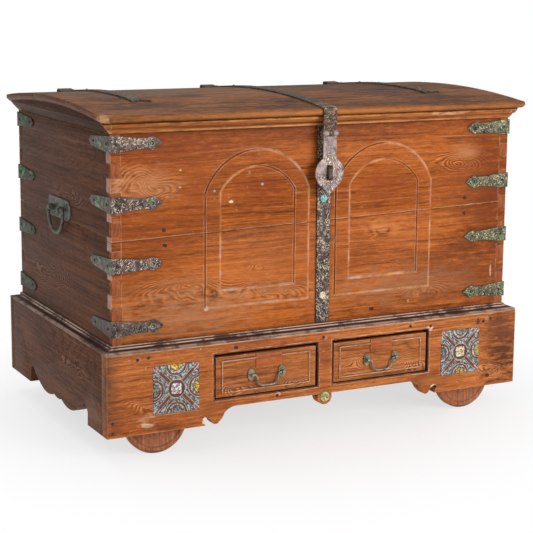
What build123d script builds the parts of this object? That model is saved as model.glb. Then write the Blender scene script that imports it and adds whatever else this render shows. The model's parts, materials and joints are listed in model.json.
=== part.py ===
"""Arabic dowry chest: a boarded box with a shallow vaulted lid, on a base with two drawers and four wheels.

Millimetres. X runs along the front, the front faces -Y, +Z is up. The origin is on the floor, under the
middle of the chest's overall box.
"""

import os
from math import asin, atan, cos, degrees, pi, radians, sin, sqrt

from build123d import *

os.makedirs("parts", exist_ok=True)

# ---------------------------------------------------------------- driving dimensions
# Box of the chest
body_width = 1100
body_depth = 663
wall = 25
wall_height = 506.5
floor_board = 18
board_gap = 0.3
finger_count = 15
front_joint_left = 258
front_joint_right = 287
side_joint = 267

# Raised bands of the two arches on the front boards
arch_offset = 176
arch_outer_half = 138.5
arch_inner_half = 99
arch_spring_up = 357.5
arch_outer_head = 99.5
arch_inner_head = 59
arch_bottom_up = 83
arch_border = 40
arch_band_rise = 2.4

# Base with the drawers
ground_gap = 62
base_height = 197
base_board = 30
base_overhang_side = 25
base_overhang_front = 28
base_overhang_back = 27
deck_board = 18
deck_count = 4
moulding_width = 26
moulding_lip = 4
moulding_ramp = 9
moulding_height = 16
moulding_bead = 5

# Apron cut along the bottom of the base's front and side boards
apron_rise = 39
apron_run = 247
foot_inset = 326
apron_scroll = ((17, 34), (28, 25), (34, 14), (42, 6))
foot_scroll = ((-28, 0.5), (-19, 4), (-13, 13), (-5, 19), (3, 20), (7, 15), (1, 8), (0, 0))
lobe_radius = 20
lobe_up = 31
boss_disc_radius = 15
boss_disc_thick = 3
side_apron_centre = -16
side_foot_half = 214
side_cusp_half = 187
side_cusp_up = 48
side_scallops = ((0, 10), (14, 11), (26, 15), (82, 4), (150, 24), (171, 33))
side_foot_bulge = (203, 44)
side_foot_top = (215, 32)

# Drawers
opening_near = 21
opening_width = 281
opening_low = 61
opening_height = 110
drawer_length = 420
drawer_front_thick = 20
drawer_recess = 4
drawer_side_gap = 4.5
drawer_top_gap = 8
drawer_front_lift = 2
drawer_bead_side = 15
drawer_bead_end = 9
drawer_bead_width = 5
drawer_bead_rise = 2
drawer_run_gap = 0.3
drawer_side_thick = 12
drawer_side_drop = 6
drawer_bottom_thick = 8
drawer_bottom_up = 6
runner_thick = 16
runner_width = 40
stop_height = 30
stop_thick = 20
guide_thick = 20
guide_gap = 2

# Painted tiles set into the base front
tile_size = 117
tile_inset = 174
tile_centre_up = 102
tile_pocket = 6
tile_proud = 1
tile_clearance = 0.5

# Wheels
wheel_radius = 79
wheel_thick = 26
wheel_inset = 138
wheel_gap = 3
wheel_edge_round = 3
axle_radius = 8
axle_clearance = 0.08
axle_seat_clearance = 0.05
axle_sink = 15
bearer_thick = 28
bearer_width = 94

# Lid
lid_gap = 0.5
lid_front_overhang = 26.5
lid_back_inset = 4.5
lid_side_overhang = 33
lid_board = 17
lid_board_count = 3
lid_rail_height = 25
lid_rise = 21.5
lid_rail = 25
rail_proud = 4.5
rail_bead_up = 18
rail_bead_radius = 7.5
nosing_radius = 7.5
lid_end_round = 4
lid_back_round = 3
lid_end_chamfer = 8
end_cove_reach = 23

# Iron straps, hinges and hasp
strap_thick = 4
strap_width = 36
strap_seat = 0.05
left_strap_inset = 133
right_strap_inset = 151
hasp_x = 3
strap_tip_from_front = 158
strap_tip_flare = 50
strap_tip_length = 60
strap_tip_notch = 16
strap_bend_radius = 5
pin_radius = 3.5
pin_clearance = 0.06
pin_overhang = 2
hinge_stand_off = 16
hinge_rise = 2
hinge_lift_run = 22
leaf_length = 150
leaf_bend = 22
knuckle_width = 12
knuckle_gap = 0.6
hasp_drop = 17
hasp_disc_radius = 38.5
hasp_disc_drop = 96
hasp_point_drop = 148
hasp_slot_width = 17
hasp_slot_height = 38
hasp_pin_head = 4
hasp_pin_head_radius = 6.5
staple_width = 7
staple_height = 30
staple_bar = 6
staple_reach = 11
staple_shift = -3.5
strap_boss_radius = 10
strap_boss_height = 3
strap_boss_heights = (86, 328)
front_strap_clear = 3

# Corner straps, with the same heights above the foot of the box at all four corners
corner_strap_heights = (54, 202, 344, 483)
corner_strap_thick = 3
corner_strap_length = 128
corner_strap_half = 19
front_leg_widths = ((20, 18), (60, 13), (90, 12), (104, 15.5), (114, 11))
front_nail_runs = (14, 103)
back_leg_length = 104
back_leg_widths = ((90, 11),)
back_nail_runs = (14, 78)
side_leg_widths = ((112, 11),)
side_nail_runs = (16, 98)
lid_nail_pitch = 105
nail_radius = 4
nail_height = 2

# Pulls and carrying handles
pull_wire = 2.4
pull_half_spacing = 41.5
pull_stand_off = 9
pull_up = 50
pull_drop = 28
rosette_width = 19
rosette_height = 30
rosette_thick = 2.5
pull_eye_radius = 4.6
pull_eye_width = 6
wire_clearance = 0.08
handle_wire = 4.25
handle_half_spacing = 30
handle_half_width = 54
handle_corner_radius = 7
handle_stand_off = 12.5
handle_centre_y = 12
handle_up = 291
handle_plate_width = 160
handle_plate_height = 50
handle_plate_thick = 3
handle_plate_corner = 14
handle_eye_radius = 8.5
handle_eye_width = 9
handle_rim_width = 5
handle_rim_rise = 1.2

# Nail heads on the front: distance from the left end, the middle or the right end, and height from an edge
upper_base_nails = {
    "left": ((77, -16), (104, -14)),
    "middle": ((-247, -13), (-6, -14), (247, -12), (308, -18)),
    "right": ((-102, -22), (-80, -16)),
}
lower_base_nails = {"left": ((14, 36), (14, 12)), "middle": ((-133, 51),), "right": ((-87, 28),)}
body_nails = {
    "left": ((130, 279), (132, 243)),
    "middle": ((144, 37),),
    "right": ((-130, 303), (-130, 264)),
}

# ---------------------------------------------------------------- derived places
strap_out = lid_front_overhang + strap_thick / 2
knuckle_radius = pin_radius + pin_clearance + strap_thick
front_reach = strap_out + strap_thick / 2 + staple_reach
front_y = -(body_depth + front_reach + base_overhang_back) / 2 + front_reach
back_y = front_y + body_depth
half_body = body_width / 2
half_inside = half_body - wall
middle_y = (front_y + back_y) / 2

base_low = ground_gap
base_top = base_low + base_height
base_front = front_y - base_overhang_front
base_back = back_y + base_overhang_back
half_base = half_body + base_overhang_side
inner_front = base_front + base_board
inner_back = base_back - base_board
half_base_inside = half_base - base_board
deck_low = base_top - deck_board
rim = base_top + wall_height
moulding_top = base_top + moulding_height

lid_low = rim + lid_gap
lid_front = front_y - lid_front_overhang
lid_back = back_y - lid_back_inset
half_lid = half_body + lid_side_overhang
lid_half_depth = (lid_back - lid_front) / 2
vault_y = (lid_back + lid_front) / 2
vault_edge = lid_low + lid_rail_height + lid_board
vault_radius = (lid_half_depth**2 + lid_rise**2) / (2 * lid_rise)
vault_z = vault_edge + lid_rise - vault_radius
underside = vault_radius - lid_board
hinge_y = back_y + hinge_stand_off
hinge_z = vault_edge + hinge_rise

opening_far = opening_near + opening_width
opening_mid = (opening_near + opening_far) / 2
tile_x = half_base - tile_inset
wheel_x = half_base - wheel_inset
strap_places = (-half_body + left_strap_inset, hasp_x, half_body - right_strap_inset)

sides = {"left": -1, "right": 1}


def front_plane(y):
    """Sketch plane across the chest at depth y: its axes are X and Z, and it faces the front."""
    return Plane.XZ.offset(-y)


def side_plane(x):
    """Sketch plane along the chest's depth at width x: its axes are Y and Z, and it faces +X."""
    return Plane.YZ.offset(x)


def disc(x, y, z, radius):
    """Round face across X: the end of an eye, a bore or a pin."""
    with BuildSketch(side_plane(x)) as face:
        with Locations((y, z)):
            Circle(radius)
    return face.sketch


def vault_height(y, radius):
    """Height of a circle about the vault's centre line, at depth y."""
    return vault_z + sqrt(radius**2 - (y - vault_y) ** 2)


def save(piece, name):
    """Labels a finished piece and writes its STEP file."""
    piece.part.label = name
    export_step(piece.part, f"parts/{name}.step")


# ---------------------------------------------------------------- corner fingers of the four walls
finger_height = wall_height / finger_count
front_fingers = [index for index in range(finger_count) if index % 2 == 1]
side_fingers = [index for index in range(finger_count) if index % 2 == 0]


def finger_middle(index):
    """Middle height of one corner finger."""
    return base_top + (index + 0.5) * finger_height


def finger_notches(half_length, centre, fingers):
    """Rectangles at both ends of a wall, where the other wall's fingers come through."""
    for index in fingers:
        with Locations(
            (centre - half_length + wall / 2, finger_middle(index)),
            (centre + half_length - wall / 2, finger_middle(index)),
        ):
            Rectangle(wall, finger_height, mode=Mode.SUBTRACT)


# ---------------------------------------------------------------- front boards
# Two planks, whose joint runs up to the right, with the flat bands of two arches raised on them.
def arch_face(middle, half_width, head, bottom):
    """An arch with straight jambs and a round head, which is lower than half a circle."""
    spring = base_top + arch_spring_up
    with BuildSketch() as face:
        with BuildLine():
            Polyline(
                (middle - half_width, spring), (middle - half_width, bottom), (middle + half_width, bottom),
                (middle + half_width, spring),
            )
            ThreePointArc(
                (middle + half_width, spring), (middle, spring + head), (middle - half_width, spring)
            )
        make_face()
    return face.sketch_local


def arch_band(middle):
    """The raised band of one arch: its outer outline less the inner one."""
    outer_low = base_top + arch_bottom_up
    inner_low = outer_low + arch_border
    with BuildSketch() as band:
        add(arch_face(middle, arch_outer_half, arch_outer_head, outer_low))
        add(arch_face(middle, arch_inner_half, arch_inner_head, inner_low), mode=Mode.SUBTRACT)
    return band.sketch_local


front_planks = {
    "front_lower_board": ((base_top, base_top), (base_top + front_joint_left, base_top + front_joint_right)),
    "front_upper_board": ((base_top + front_joint_left, base_top + front_joint_right), (rim, rim)),
}
for plank_name, (low, high) in front_planks.items():
    plank_corners = (
        (-half_body, low[0]), (half_body, low[1]), (half_body, high[1]), (-half_body, high[0]),
    )
    with BuildPart() as front_plank:
        with BuildSketch(front_plane(front_y)):
            Polygon(*plank_corners, align=None)
            finger_notches(half_body, 0, side_fingers)
        extrude(amount=-wall)
        with BuildSketch(front_plane(front_y)):
            for arch_middle in (-arch_offset, arch_offset):
                add(arch_band(arch_middle))
            Polygon(*plank_corners, align=None, mode=Mode.INTERSECT)
        extrude(amount=arch_band_rise)
    save(front_plank, plank_name)

# ---------------------------------------------------------------- back and side boards
plank_heights = {"lower": (base_top, base_top + side_joint), "upper": (base_top + side_joint, rim)}
for level, (low, high) in plank_heights.items():
    with BuildPart() as back_plank:
        with BuildSketch(front_plane(back_y)):
            with Locations((0, (low + high) / 2)):
                Rectangle(body_width, high - low)
            finger_notches(half_body, 0, side_fingers)
        extrude(amount=wall)
    save(back_plank, f"back_{level}_board")
    for side, sign in sides.items():
        with BuildPart() as side_plank:
            with BuildSketch(side_plane(sign * half_body)):
                with Locations((middle_y, (low + high) / 2)):
                    Rectangle(body_depth, high - low)
                finger_notches(body_depth / 2, middle_y, front_fingers)
            extrude(amount=-sign * wall)
        save(side_plank, f"{side}_{level}_board")

# ---------------------------------------------------------------- floor of the chest and deck of the base
inside_depth = body_depth - 2 * wall
floor_count = 3
with BuildPart() as floor_boards:
    with BuildSketch(Plane.XY.offset(base_top)):
        with Locations((0, middle_y)):
            with GridLocations(1, inside_depth / floor_count, 1, floor_count):
                Rectangle(2 * half_inside, inside_depth / floor_count - board_gap)
    extrude(amount=floor_board)
save(floor_boards, "chest_floor_boards")

deck_depth = inner_back - inner_front
with BuildPart() as deck_boards:
    with BuildSketch(Plane.XY.offset(deck_low)):
        with Locations((0, (inner_front + inner_back) / 2)):
            with GridLocations(1, deck_depth / deck_count, 1, deck_count):
                Rectangle(2 * half_base_inside, deck_depth / deck_count - board_gap)
    extrude(amount=deck_board)
save(deck_boards, "base_deck_boards")

# ---------------------------------------------------------------- moulding around the foot of the box
# A lip, a ramp and a small bead, mitred at the four corners.
ramp_run = moulding_width - moulding_bead
ramp_rise = moulding_ramp - moulding_lip
with BuildPart() as plinth_mouldings:
    with BuildSketch(Plane.XY.offset(base_top)):
        with Locations((0, middle_y)):
            Rectangle(body_width + 2 * moulding_width, body_depth + 2 * moulding_width)
    extrude(amount=moulding_lip)
    with BuildSketch(Plane.XY.offset(base_top + moulding_lip)):
        with Locations((0, middle_y)):
            Rectangle(body_width + 2 * moulding_width, body_depth + 2 * moulding_width)
    extrude(amount=ramp_rise, taper=degrees(atan(ramp_run / ramp_rise)))
    with BuildSketch(Plane.XY.offset(base_top + moulding_ramp)):
        with Locations((0, middle_y)):
            Rectangle(body_width + 2 * moulding_bead, body_depth + 2 * moulding_bead)
    extrude(amount=moulding_height - moulding_ramp)
    fillet(plinth_mouldings.faces().sort_by(Axis.Z)[-1].edges(), moulding_bead / 2)
    with BuildSketch(Plane.XY.offset(base_top)):
        with Locations((0, middle_y)):
            Rectangle(body_width, body_depth)
    extrude(amount=moulding_height, mode=Mode.SUBTRACT)
    with BuildSketch(Plane.XY.offset(base_top)):
        for corner_x in (-half_body, half_body):
            for corner_y in (front_y, back_y):
                turn = 45 if corner_x * (corner_y - middle_y) > 0 else -45
                with Locations(Location((corner_x, corner_y, 0), (0, 0, turn))):
                    Rectangle(4 * moulding_width, board_gap)
    extrude(amount=moulding_height, mode=Mode.SUBTRACT)
save(plinth_mouldings, "plinth_mouldings")


# ---------------------------------------------------------------- base boards
def base_plane(y):
    """Sketch plane across the base at depth y, with heights above the base's lower edge."""
    return Plane(origin=(0, y, base_low), x_dir=(1, 0, 0), z_dir=(0, -1, 0))


def base_side_plane(x):
    """Sketch plane along the base at width x, from the middle of the box's depth, facing +X."""
    return Plane(origin=(x, middle_y, base_low), x_dir=(0, 1, 0), z_dir=(1, 0, 0))


def front_apron():
    """What is cut away under the front board, between its scrolled feet, less the lobe in the middle."""
    scroll = [(apron_run, apron_rise)]
    scroll += [(apron_run + run, up) for run, up in apron_scroll]
    scroll += [(foot_inset + run, up) for run, up in foot_scroll]
    with BuildSketch() as cut:
        with BuildLine():
            Polyline((foot_inset, 0), (foot_inset, -1), (0, -1), (0, apron_rise), scroll[0])
            for start in range(0, len(scroll) - 2, 2):
                ThreePointArc(*scroll[start:start + 3])
        make_face()
        mirror(about=Plane.YZ)
        with Locations((0, lobe_up)):
            Circle(lobe_radius, mode=Mode.SUBTRACT)
    return cut.sketch_local


def side_apron():
    """What is cut away under a side board: scallops between two feet."""
    with BuildSketch() as cut:
        with BuildLine():
            ThreePointArc(*side_scallops[0:3])
            ThreePointArc(*side_scallops[2:5])
            ThreePointArc(*side_scallops[4:6], (side_cusp_half, side_cusp_up))
            ThreePointArc((side_cusp_half, side_cusp_up), side_foot_bulge, side_foot_top)
            Polyline(side_foot_top, (side_foot_half, -1), (0, -1), side_scallops[0])
        make_face()
        mirror(about=Plane.YZ)
    return cut.sketch_local.moved(Location((side_apron_centre, 0, 0)))


with BuildPart() as base_front_board:
    with BuildSketch(base_plane(base_front)):
        with Locations((0, base_height / 2)):
            Rectangle(2 * half_base, base_height)
        add(front_apron(), mode=Mode.SUBTRACT)
        with Locations(*[(sign * opening_mid, opening_low + opening_height / 2) for sign in sides.values()]):
            Rectangle(opening_width, opening_height, mode=Mode.SUBTRACT)
    extrude(amount=-base_board)
    with BuildSketch(base_plane(base_front)):
        with Locations(*[(sign * tile_x, tile_centre_up) for sign in sides.values()]):
            Rectangle(tile_size + 2 * tile_clearance, tile_size + 2 * tile_clearance)
    extrude(amount=-tile_pocket, mode=Mode.SUBTRACT)
    with BuildSketch(base_plane(inner_front)):
        with Locations(*[(sign * wheel_x, wheel_radius - ground_gap) for sign in sides.values()]):
            Circle(axle_radius + axle_seat_clearance)
    extrude(amount=axle_sink, mode=Mode.SUBTRACT)
save(base_front_board, "base_front_board")

with BuildPart() as base_back_board:
    with BuildSketch(base_plane(inner_back)):
        with Locations((0, base_height / 2)):
            Rectangle(2 * half_base, base_height)
    extrude(amount=-base_board)
    with BuildSketch(base_plane(inner_back)):
        with Locations(*[(sign * wheel_x, wheel_radius - ground_gap) for sign in sides.values()]):
            Circle(axle_radius + axle_seat_clearance)
    extrude(amount=-axle_sink, mode=Mode.SUBTRACT)
save(base_back_board, "base_back_board")

for side, sign in sides.items():
    with BuildPart() as base_side_board:
        with BuildSketch(base_side_plane(sign * half_base)):
            with Locations(((inner_front + inner_back) / 2 - middle_y, base_height / 2)):
                Rectangle(inner_back - inner_front, base_height)
            add(side_apron(), mode=Mode.SUBTRACT)
        extrude(amount=-sign * base_board)
    save(base_side_board, f"base_{side}_board")

# ---------------------------------------------------------------- trim of the base front
with BuildPart() as centre_boss:
    with BuildSketch(base_plane(base_front)):
        with Locations((0, lobe_up)):
            Circle(boss_disc_radius)
    extrude(amount=boss_disc_thick)
    fillet(centre_boss.faces().sort_by(Axis.Y)[0].edges(), boss_disc_thick / 2)
save(centre_boss, "centre_boss")

with BuildPart() as tiles:
    with BuildSketch(base_plane(base_front + tile_pocket)):
        with Locations(*[(sign * tile_x, tile_centre_up) for sign in sides.values()]):
            Rectangle(tile_size, tile_size)
    extrude(amount=tile_pocket + tile_proud)
save(tiles, "painted_tiles")

# ---------------------------------------------------------------- wheels, their pins and bearers
# Each wheel turns on a fixed pin between the base board in front of it, or behind it, and an inner bearer.
wheel_places = {
    "front": (inner_front, 1),
    "back": (inner_back, -1),
}
for end, (board_face, inward) in wheel_places.items():
    for side, sign in sides.items():
        with BuildPart() as wheel:
            with BuildSketch(front_plane(board_face + inward * wheel_gap)):
                with Locations((sign * wheel_x, wheel_radius)):
                    Circle(wheel_radius)
                    Circle(axle_radius + axle_clearance, mode=Mode.SUBTRACT)
            extrude(amount=-inward * wheel_thick)
            rims = wheel.edges().filter_by(lambda edge: abs(edge.length - 2 * pi * wheel_radius) < 1)
            fillet(rims, wheel_edge_round)
        save(wheel, f"{end}_{side}_wheel")

bearer_start = 2 * wheel_gap + wheel_thick
with BuildPart() as axle_bearers:
    for board_face, inward in wheel_places.values():
        with BuildSketch(base_plane(board_face + inward * bearer_start)):
            for sign in sides.values():
                with Locations((sign * wheel_x, (base_height - deck_board) / 2)):
                    Rectangle(bearer_width, base_height - deck_board)
                with Locations((sign * wheel_x, wheel_radius - ground_gap)):
                    Circle(axle_radius + axle_seat_clearance, mode=Mode.SUBTRACT)
        extrude(amount=-inward * bearer_thick)
save(axle_bearers, "axle_bearers")

with BuildPart() as axle_pins:
    for board_face, inward in wheel_places.values():
        with BuildSketch(front_plane(board_face - inward * axle_sink)):
            with Locations(*[(sign * wheel_x, wheel_radius) for sign in sides.values()]):
                Circle(axle_radius)
        extrude(amount=-inward * (axle_sink + bearer_start + bearer_thick))
save(axle_pins, "axle_pins")

# ---------------------------------------------------------------- runners, stops and guides of the drawers
drawer_near = opening_near + drawer_side_gap
drawer_far = opening_far - drawer_side_gap
drawer_face = base_front + drawer_recess
drawer_end = drawer_face + drawer_length
with BuildPart() as drawer_runners:
    with BuildSketch(base_plane(inner_front)):
        for sign in sides.values():
            for edge_x in (drawer_near + runner_width / 2, drawer_far - runner_width / 2):
                with Locations((sign * edge_x, opening_low - runner_thick / 2)):
                    Rectangle(runner_width, runner_thick)
    extrude(amount=-(inner_back - inner_front))
    with BuildSketch(base_plane(drawer_end + board_gap)):
        for sign in sides.values():
            for edge_x in (drawer_near + runner_width / 2, drawer_far - runner_width / 2):
                with Locations((sign * edge_x, opening_low + stop_height / 2)):
                    Rectangle(runner_width, stop_height)
    extrude(amount=-stop_thick)
save(drawer_runners, "drawer_runners")

guide_near = drawer_near - guide_gap
guide_far = drawer_far + guide_gap
guide_height = base_height - deck_board - opening_low + runner_thick
guide_middle = base_height - deck_board - guide_height / 2
with BuildPart() as drawer_guides:
    with BuildSketch(base_plane(inner_front)):
        with Locations((0, guide_middle)):
            Rectangle(2 * guide_near, guide_height)
        for sign in sides.values():
            with Locations((sign * (guide_far + guide_thick / 2), guide_middle)):
                Rectangle(guide_thick, guide_height)
    extrude(amount=-(inner_back - inner_front))
save(drawer_guides, "drawer_guides")

# ---------------------------------------------------------------- drawers
front_low = opening_low + drawer_front_lift
front_high = opening_low + opening_height - drawer_top_gap
front_middle = (front_low + front_high) / 2
front_width = drawer_far - drawer_near
box_low = opening_low + drawer_run_gap
box_high = front_high - drawer_side_drop
box_start = drawer_face + drawer_front_thick
for side, sign in sides.items():
    centre_x = sign * opening_mid
    bead_width = front_width - 2 * drawer_bead_side
    bead_height = front_high - front_low - 2 * drawer_bead_end
    groove_width = bead_width - 2 * drawer_bead_width
    groove_height = bead_height - 2 * drawer_bead_width
    with BuildPart() as drawer_front:
        with BuildSketch(base_plane(drawer_face)):
            with Locations((centre_x, front_middle)):
                Rectangle(front_width, front_high - front_low)
        extrude(amount=-drawer_front_thick)
        with BuildSketch(base_plane(drawer_face)):
            with Locations((centre_x, front_middle)):
                Rectangle(bead_width, bead_height)
                Rectangle(groove_width, groove_height, mode=Mode.SUBTRACT)
        extrude(amount=drawer_bead_rise)
    save(drawer_front, f"{side}_drawer_front")

    with BuildPart() as drawer_box:
        with BuildSketch(base_plane(box_start)):
            with Locations((centre_x, (box_low + box_high) / 2)):
                with GridLocations(front_width - drawer_side_thick, 1, 2, 1):
                    Rectangle(drawer_side_thick, box_high - box_low)
        extrude(amount=-(drawer_end - box_start))
        inner_width = front_width - 2 * drawer_side_thick - 2 * board_gap
        with BuildSketch(base_plane(drawer_end - drawer_side_thick)):
            with Locations((centre_x, (box_low + box_high) / 2)):
                Rectangle(inner_width, box_high - box_low)
        extrude(amount=-drawer_side_thick)
        with BuildSketch(base_plane(box_start)):
            with Locations((centre_x, opening_low + drawer_bottom_up + drawer_bottom_thick / 2)):
                Rectangle(inner_width, drawer_bottom_thick)
        extrude(amount=-(drawer_end - drawer_side_thick - board_gap - box_start))
    save(drawer_box, f"{side}_drawer_box")

    # Two oval rosettes, each with an eye on a short post, carry the pull.
    eye_y = drawer_face - pull_stand_off
    with BuildPart() as rosettes:
        with BuildSketch(base_plane(drawer_face)):
            with Locations((centre_x, opening_low + pull_up)):
                with GridLocations(2 * pull_half_spacing, 1, 2, 1):
                    Ellipse(rosette_width / 2, rosette_height / 2)
        extrude(amount=rosette_thick)
        for post in (-1, 1):
            post_x = centre_x + post * pull_half_spacing
            with BuildSketch(side_plane(post_x - pull_eye_width / 2)):
                with Locations((eye_y, base_low + opening_low + pull_up)):
                    Circle(pull_eye_radius)
                with Locations(((eye_y + drawer_face) / 2, base_low + opening_low + pull_up)):
                    Rectangle(pull_stand_off, pull_eye_width)
                with Locations((eye_y, base_low + opening_low + pull_up)):
                    Circle(pull_wire + wire_clearance, mode=Mode.SUBTRACT)
            extrude(amount=pull_eye_width)
    save(rosettes, f"{side}_drawer_rosettes")

    pull_end = pull_half_spacing + pull_eye_width / 2 + pull_wire
    wire_plane = Plane(
        origin=(centre_x, eye_y, base_low + opening_low + pull_up), x_dir=(1, 0, 0), z_dir=(0, -1, 0)
    )
    with BuildPart() as pull:
        with BuildLine(wire_plane) as pull_path:
            FilletPolyline(
                (-pull_end, 0),
                (-pull_half_spacing + 11, 0),
                (-pull_half_spacing + 17, -pull_drop),
                (pull_half_spacing - 17, -pull_drop),
                (pull_half_spacing - 11, 0),
                (pull_end, 0),
                radius=[7, 15, 15, 7],
            )
        with BuildSketch(Plane(origin=pull_path.line @ 0, z_dir=pull_path.line % 0)):
            Circle(pull_wire)
        sweep()
    save(pull, f"{side}_drawer_pull")

# ---------------------------------------------------------------- side handles
handle_z = base_top + handle_up
handle_y = middle_y + handle_centre_y
for side, sign in sides.items():
    pivot_x = sign * (half_body + handle_stand_off)
    with BuildPart() as handle_plate:
        with BuildSketch(side_plane(sign * half_body)) as plate_sketch:
            with Locations((handle_y, handle_z)):
                Rectangle(handle_plate_width, handle_plate_height)
            chamfer(plate_sketch.vertices(), handle_plate_corner)
        extrude(amount=sign * handle_plate_thick)
        with BuildSketch(side_plane(sign * (half_body + handle_plate_thick))) as rim_sketch:
            with Locations((handle_y, handle_z)):
                Rectangle(handle_plate_width, handle_plate_height)
            chamfer(rim_sketch.vertices(), handle_plate_corner)
            offset(amount=-handle_rim_width, mode=Mode.SUBTRACT)
        extrude(amount=sign * handle_rim_rise)
        for eye in (-1, 1):
            eye_y = handle_y + eye * handle_half_spacing
            with BuildSketch(front_plane(eye_y + handle_eye_width / 2)):
                with Locations((pivot_x, handle_z)):
                    Circle(handle_eye_radius)
                with Locations((sign * (half_body + handle_stand_off / 2), handle_z)):
                    Rectangle(handle_stand_off, 1.4 * handle_eye_radius)
                with Locations((pivot_x, handle_z)):
                    Circle(handle_wire + wire_clearance, mode=Mode.SUBTRACT)
            extrude(amount=handle_eye_width)
    save(handle_plate, f"{side}_handle_plate")

    stub_end = handle_half_spacing - handle_eye_width / 2 - handle_wire / 2
    straight_end = handle_half_width - handle_corner_radius
    bend_run = straight_end + handle_corner_radius * cos(pi / 4)
    bend_drop = handle_corner_radius * (1 - cos(pi / 4))
    bow_z = -handle_corner_radius
    handle_plane = Plane(origin=(pivot_x, handle_y, handle_z), x_dir=(0, 1, 0), z_dir=(1, 0, 0))
    with BuildPart() as handle:
        with BuildLine(handle_plane) as handle_path:
            Line((-stub_end, 0), (-straight_end, 0))
            ThreePointArc((-straight_end, 0), (-bend_run, -bend_drop), (-handle_half_width, bow_z))
            ThreePointArc(
                (-handle_half_width, bow_z), (0, bow_z - handle_half_width), (handle_half_width, bow_z)
            )
            ThreePointArc((handle_half_width, bow_z), (bend_run, -bend_drop), (straight_end, 0))
            Line((straight_end, 0), (stub_end, 0))
        with BuildSketch(Plane(origin=handle_path.line @ 0, z_dir=handle_path.line % 0)):
            Circle(handle_wire)
        sweep()
    save(handle, f"{side}_handle_bail")

# ---------------------------------------------------------------- lid boards
# Three boards, bent to one vault. The front one has a rounded nosing, and all have rounded, undercut ends.
board_run = 2 * lid_half_depth / lid_board_count
sweep_angle = 2 * degrees(asin(lid_half_depth / vault_radius)) + 1
vault_start = radians(-sweep_angle / 2)
end_section_plane = Plane(
    origin=(0, vault_y, vault_z), x_dir=(1, 0, 0), z_dir=(0, -cos(vault_start), sin(vault_start))
)
for index, board_name in enumerate(("front", "middle", "back")):
    board_start = lid_front + index * board_run + (board_gap / 2 if index else 0)
    board_end = lid_front + (index + 1) * board_run - (board_gap / 2 if index < lid_board_count - 1 else 0)
    with BuildPart() as lid_plank:
        with BuildSketch(side_plane(-half_lid)) as section:
            with Locations((vault_y, vault_z)):
                Circle(vault_radius)
                Circle(underside, mode=Mode.SUBTRACT)
            with Locations(((board_start + board_end) / 2, vault_edge)):
                Rectangle(board_end - board_start, 4 * lid_rise, mode=Mode.INTERSECT)
            if board_name == "front":
                fillet(section.vertices().sort_by(Axis.X)[:2], nosing_radius)
            if board_name == "back":
                fillet(section.vertices().sort_by(Axis.X)[-2:].sort_by(Axis.Y)[-1], lid_back_round)
        extrude(amount=2 * half_lid)
        with BuildSketch(end_section_plane) as end_section:
            with Locations((0, vault_radius - lid_board / 2)):
                Rectangle(2 * half_lid, lid_board)
            fillet(end_section.vertices().group_by(Axis.Y)[-1], lid_end_round)
            chamfer(end_section.vertices().group_by(Axis.Y)[0], lid_end_chamfer)
        revolve(axis=Axis((0, vault_y, vault_z), (-1, 0, 0)), revolution_arc=sweep_angle, mode=Mode.INTERSECT)
    save(lid_plank, f"lid_{board_name}_board")

# ---------------------------------------------------------------- lid rails and ends
rail_places = {"front": (front_y, 1, rail_proud), "back": (lid_back, -1, 0)}
rail_top = lid_low + 3 * lid_rail_height
bead_low = lid_low + rail_bead_up - rail_bead_radius
bead_high = lid_low + rail_bead_up + rail_bead_radius
for end, (face_y, inward, proud) in rail_places.items():
    bead_y = face_y - inward * proud
    rail_inside = face_y + inward * lid_rail
    with BuildPart() as lid_rail_piece:
        with BuildSketch(side_plane(-half_body)):
            with BuildLine():
                Polyline(
                    (bead_y, bead_low), (bead_y, lid_low), (rail_inside, lid_low), (rail_inside, rail_top),
                    (bead_y, rail_top), (bead_y, bead_high),
                )
                if proud:
                    bead_nose = (bead_y - inward * rail_bead_radius, lid_low + rail_bead_up)
                    ThreePointArc((bead_y, bead_high), bead_nose, (bead_y, bead_low))
                else:
                    Line((bead_y, bead_high), (bead_y, bead_low))
            make_face()
            with Locations((vault_y, vault_z)):
                Circle(underside, mode=Mode.INTERSECT)
        extrude(amount=body_width)
    save(lid_rail_piece, f"lid_{end}_rail")

for side, sign in sides.items():
    with BuildPart() as lid_end:
        with BuildSketch(front_plane(front_y - rail_proud)):
            with BuildLine():
                Polyline(
                    (sign * half_body, lid_low), (sign * half_inside, lid_low),
                    (sign * half_inside, vault_z + vault_radius),
                    (sign * (half_body + end_cove_reach), vault_z + vault_radius),
                    (sign * (half_body + end_cove_reach), lid_low + lid_rail_height),
                )
                ThreePointArc(
                    (sign * (half_body + end_cove_reach), lid_low + lid_rail_height),
                    (sign * (half_body + end_cove_reach / 2), lid_low + 0.46 * lid_rail_height),
                    (sign * half_body, lid_low),
                )
            make_face()
        extrude(amount=-(lid_back - front_y + rail_proud))
        with BuildSketch(side_plane(sign * half_inside)):
            with Locations((vault_y, vault_z)):
                Circle(underside)
        extrude(amount=sign * (wall + end_cove_reach), mode=Mode.INTERSECT)
        with BuildSketch(Plane.XY.offset(lid_low)):
            for face_y, inward, proud in rail_places.values():
                with Locations((sign * (half_inside + wall / 2), face_y + inward * (lid_rail - proud) / 2)):
                    Rectangle(wall, lid_rail + proud)
        extrude(amount=3 * lid_rail_height, mode=Mode.SUBTRACT)
    save(lid_end, f"lid_{side}_end")

# ---------------------------------------------------------------- hinges and straps of the lid
strap_inner = vault_radius + strap_seat
strap_outer = strap_inner + strap_thick
lift_y = lid_back - hinge_lift_run
tip_y = lid_front + strap_tip_from_front
knuckle_z = lid_low - hasp_drop
knuckle_y = front_y - strap_out
names = ("left", "centre", "right")


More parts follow.
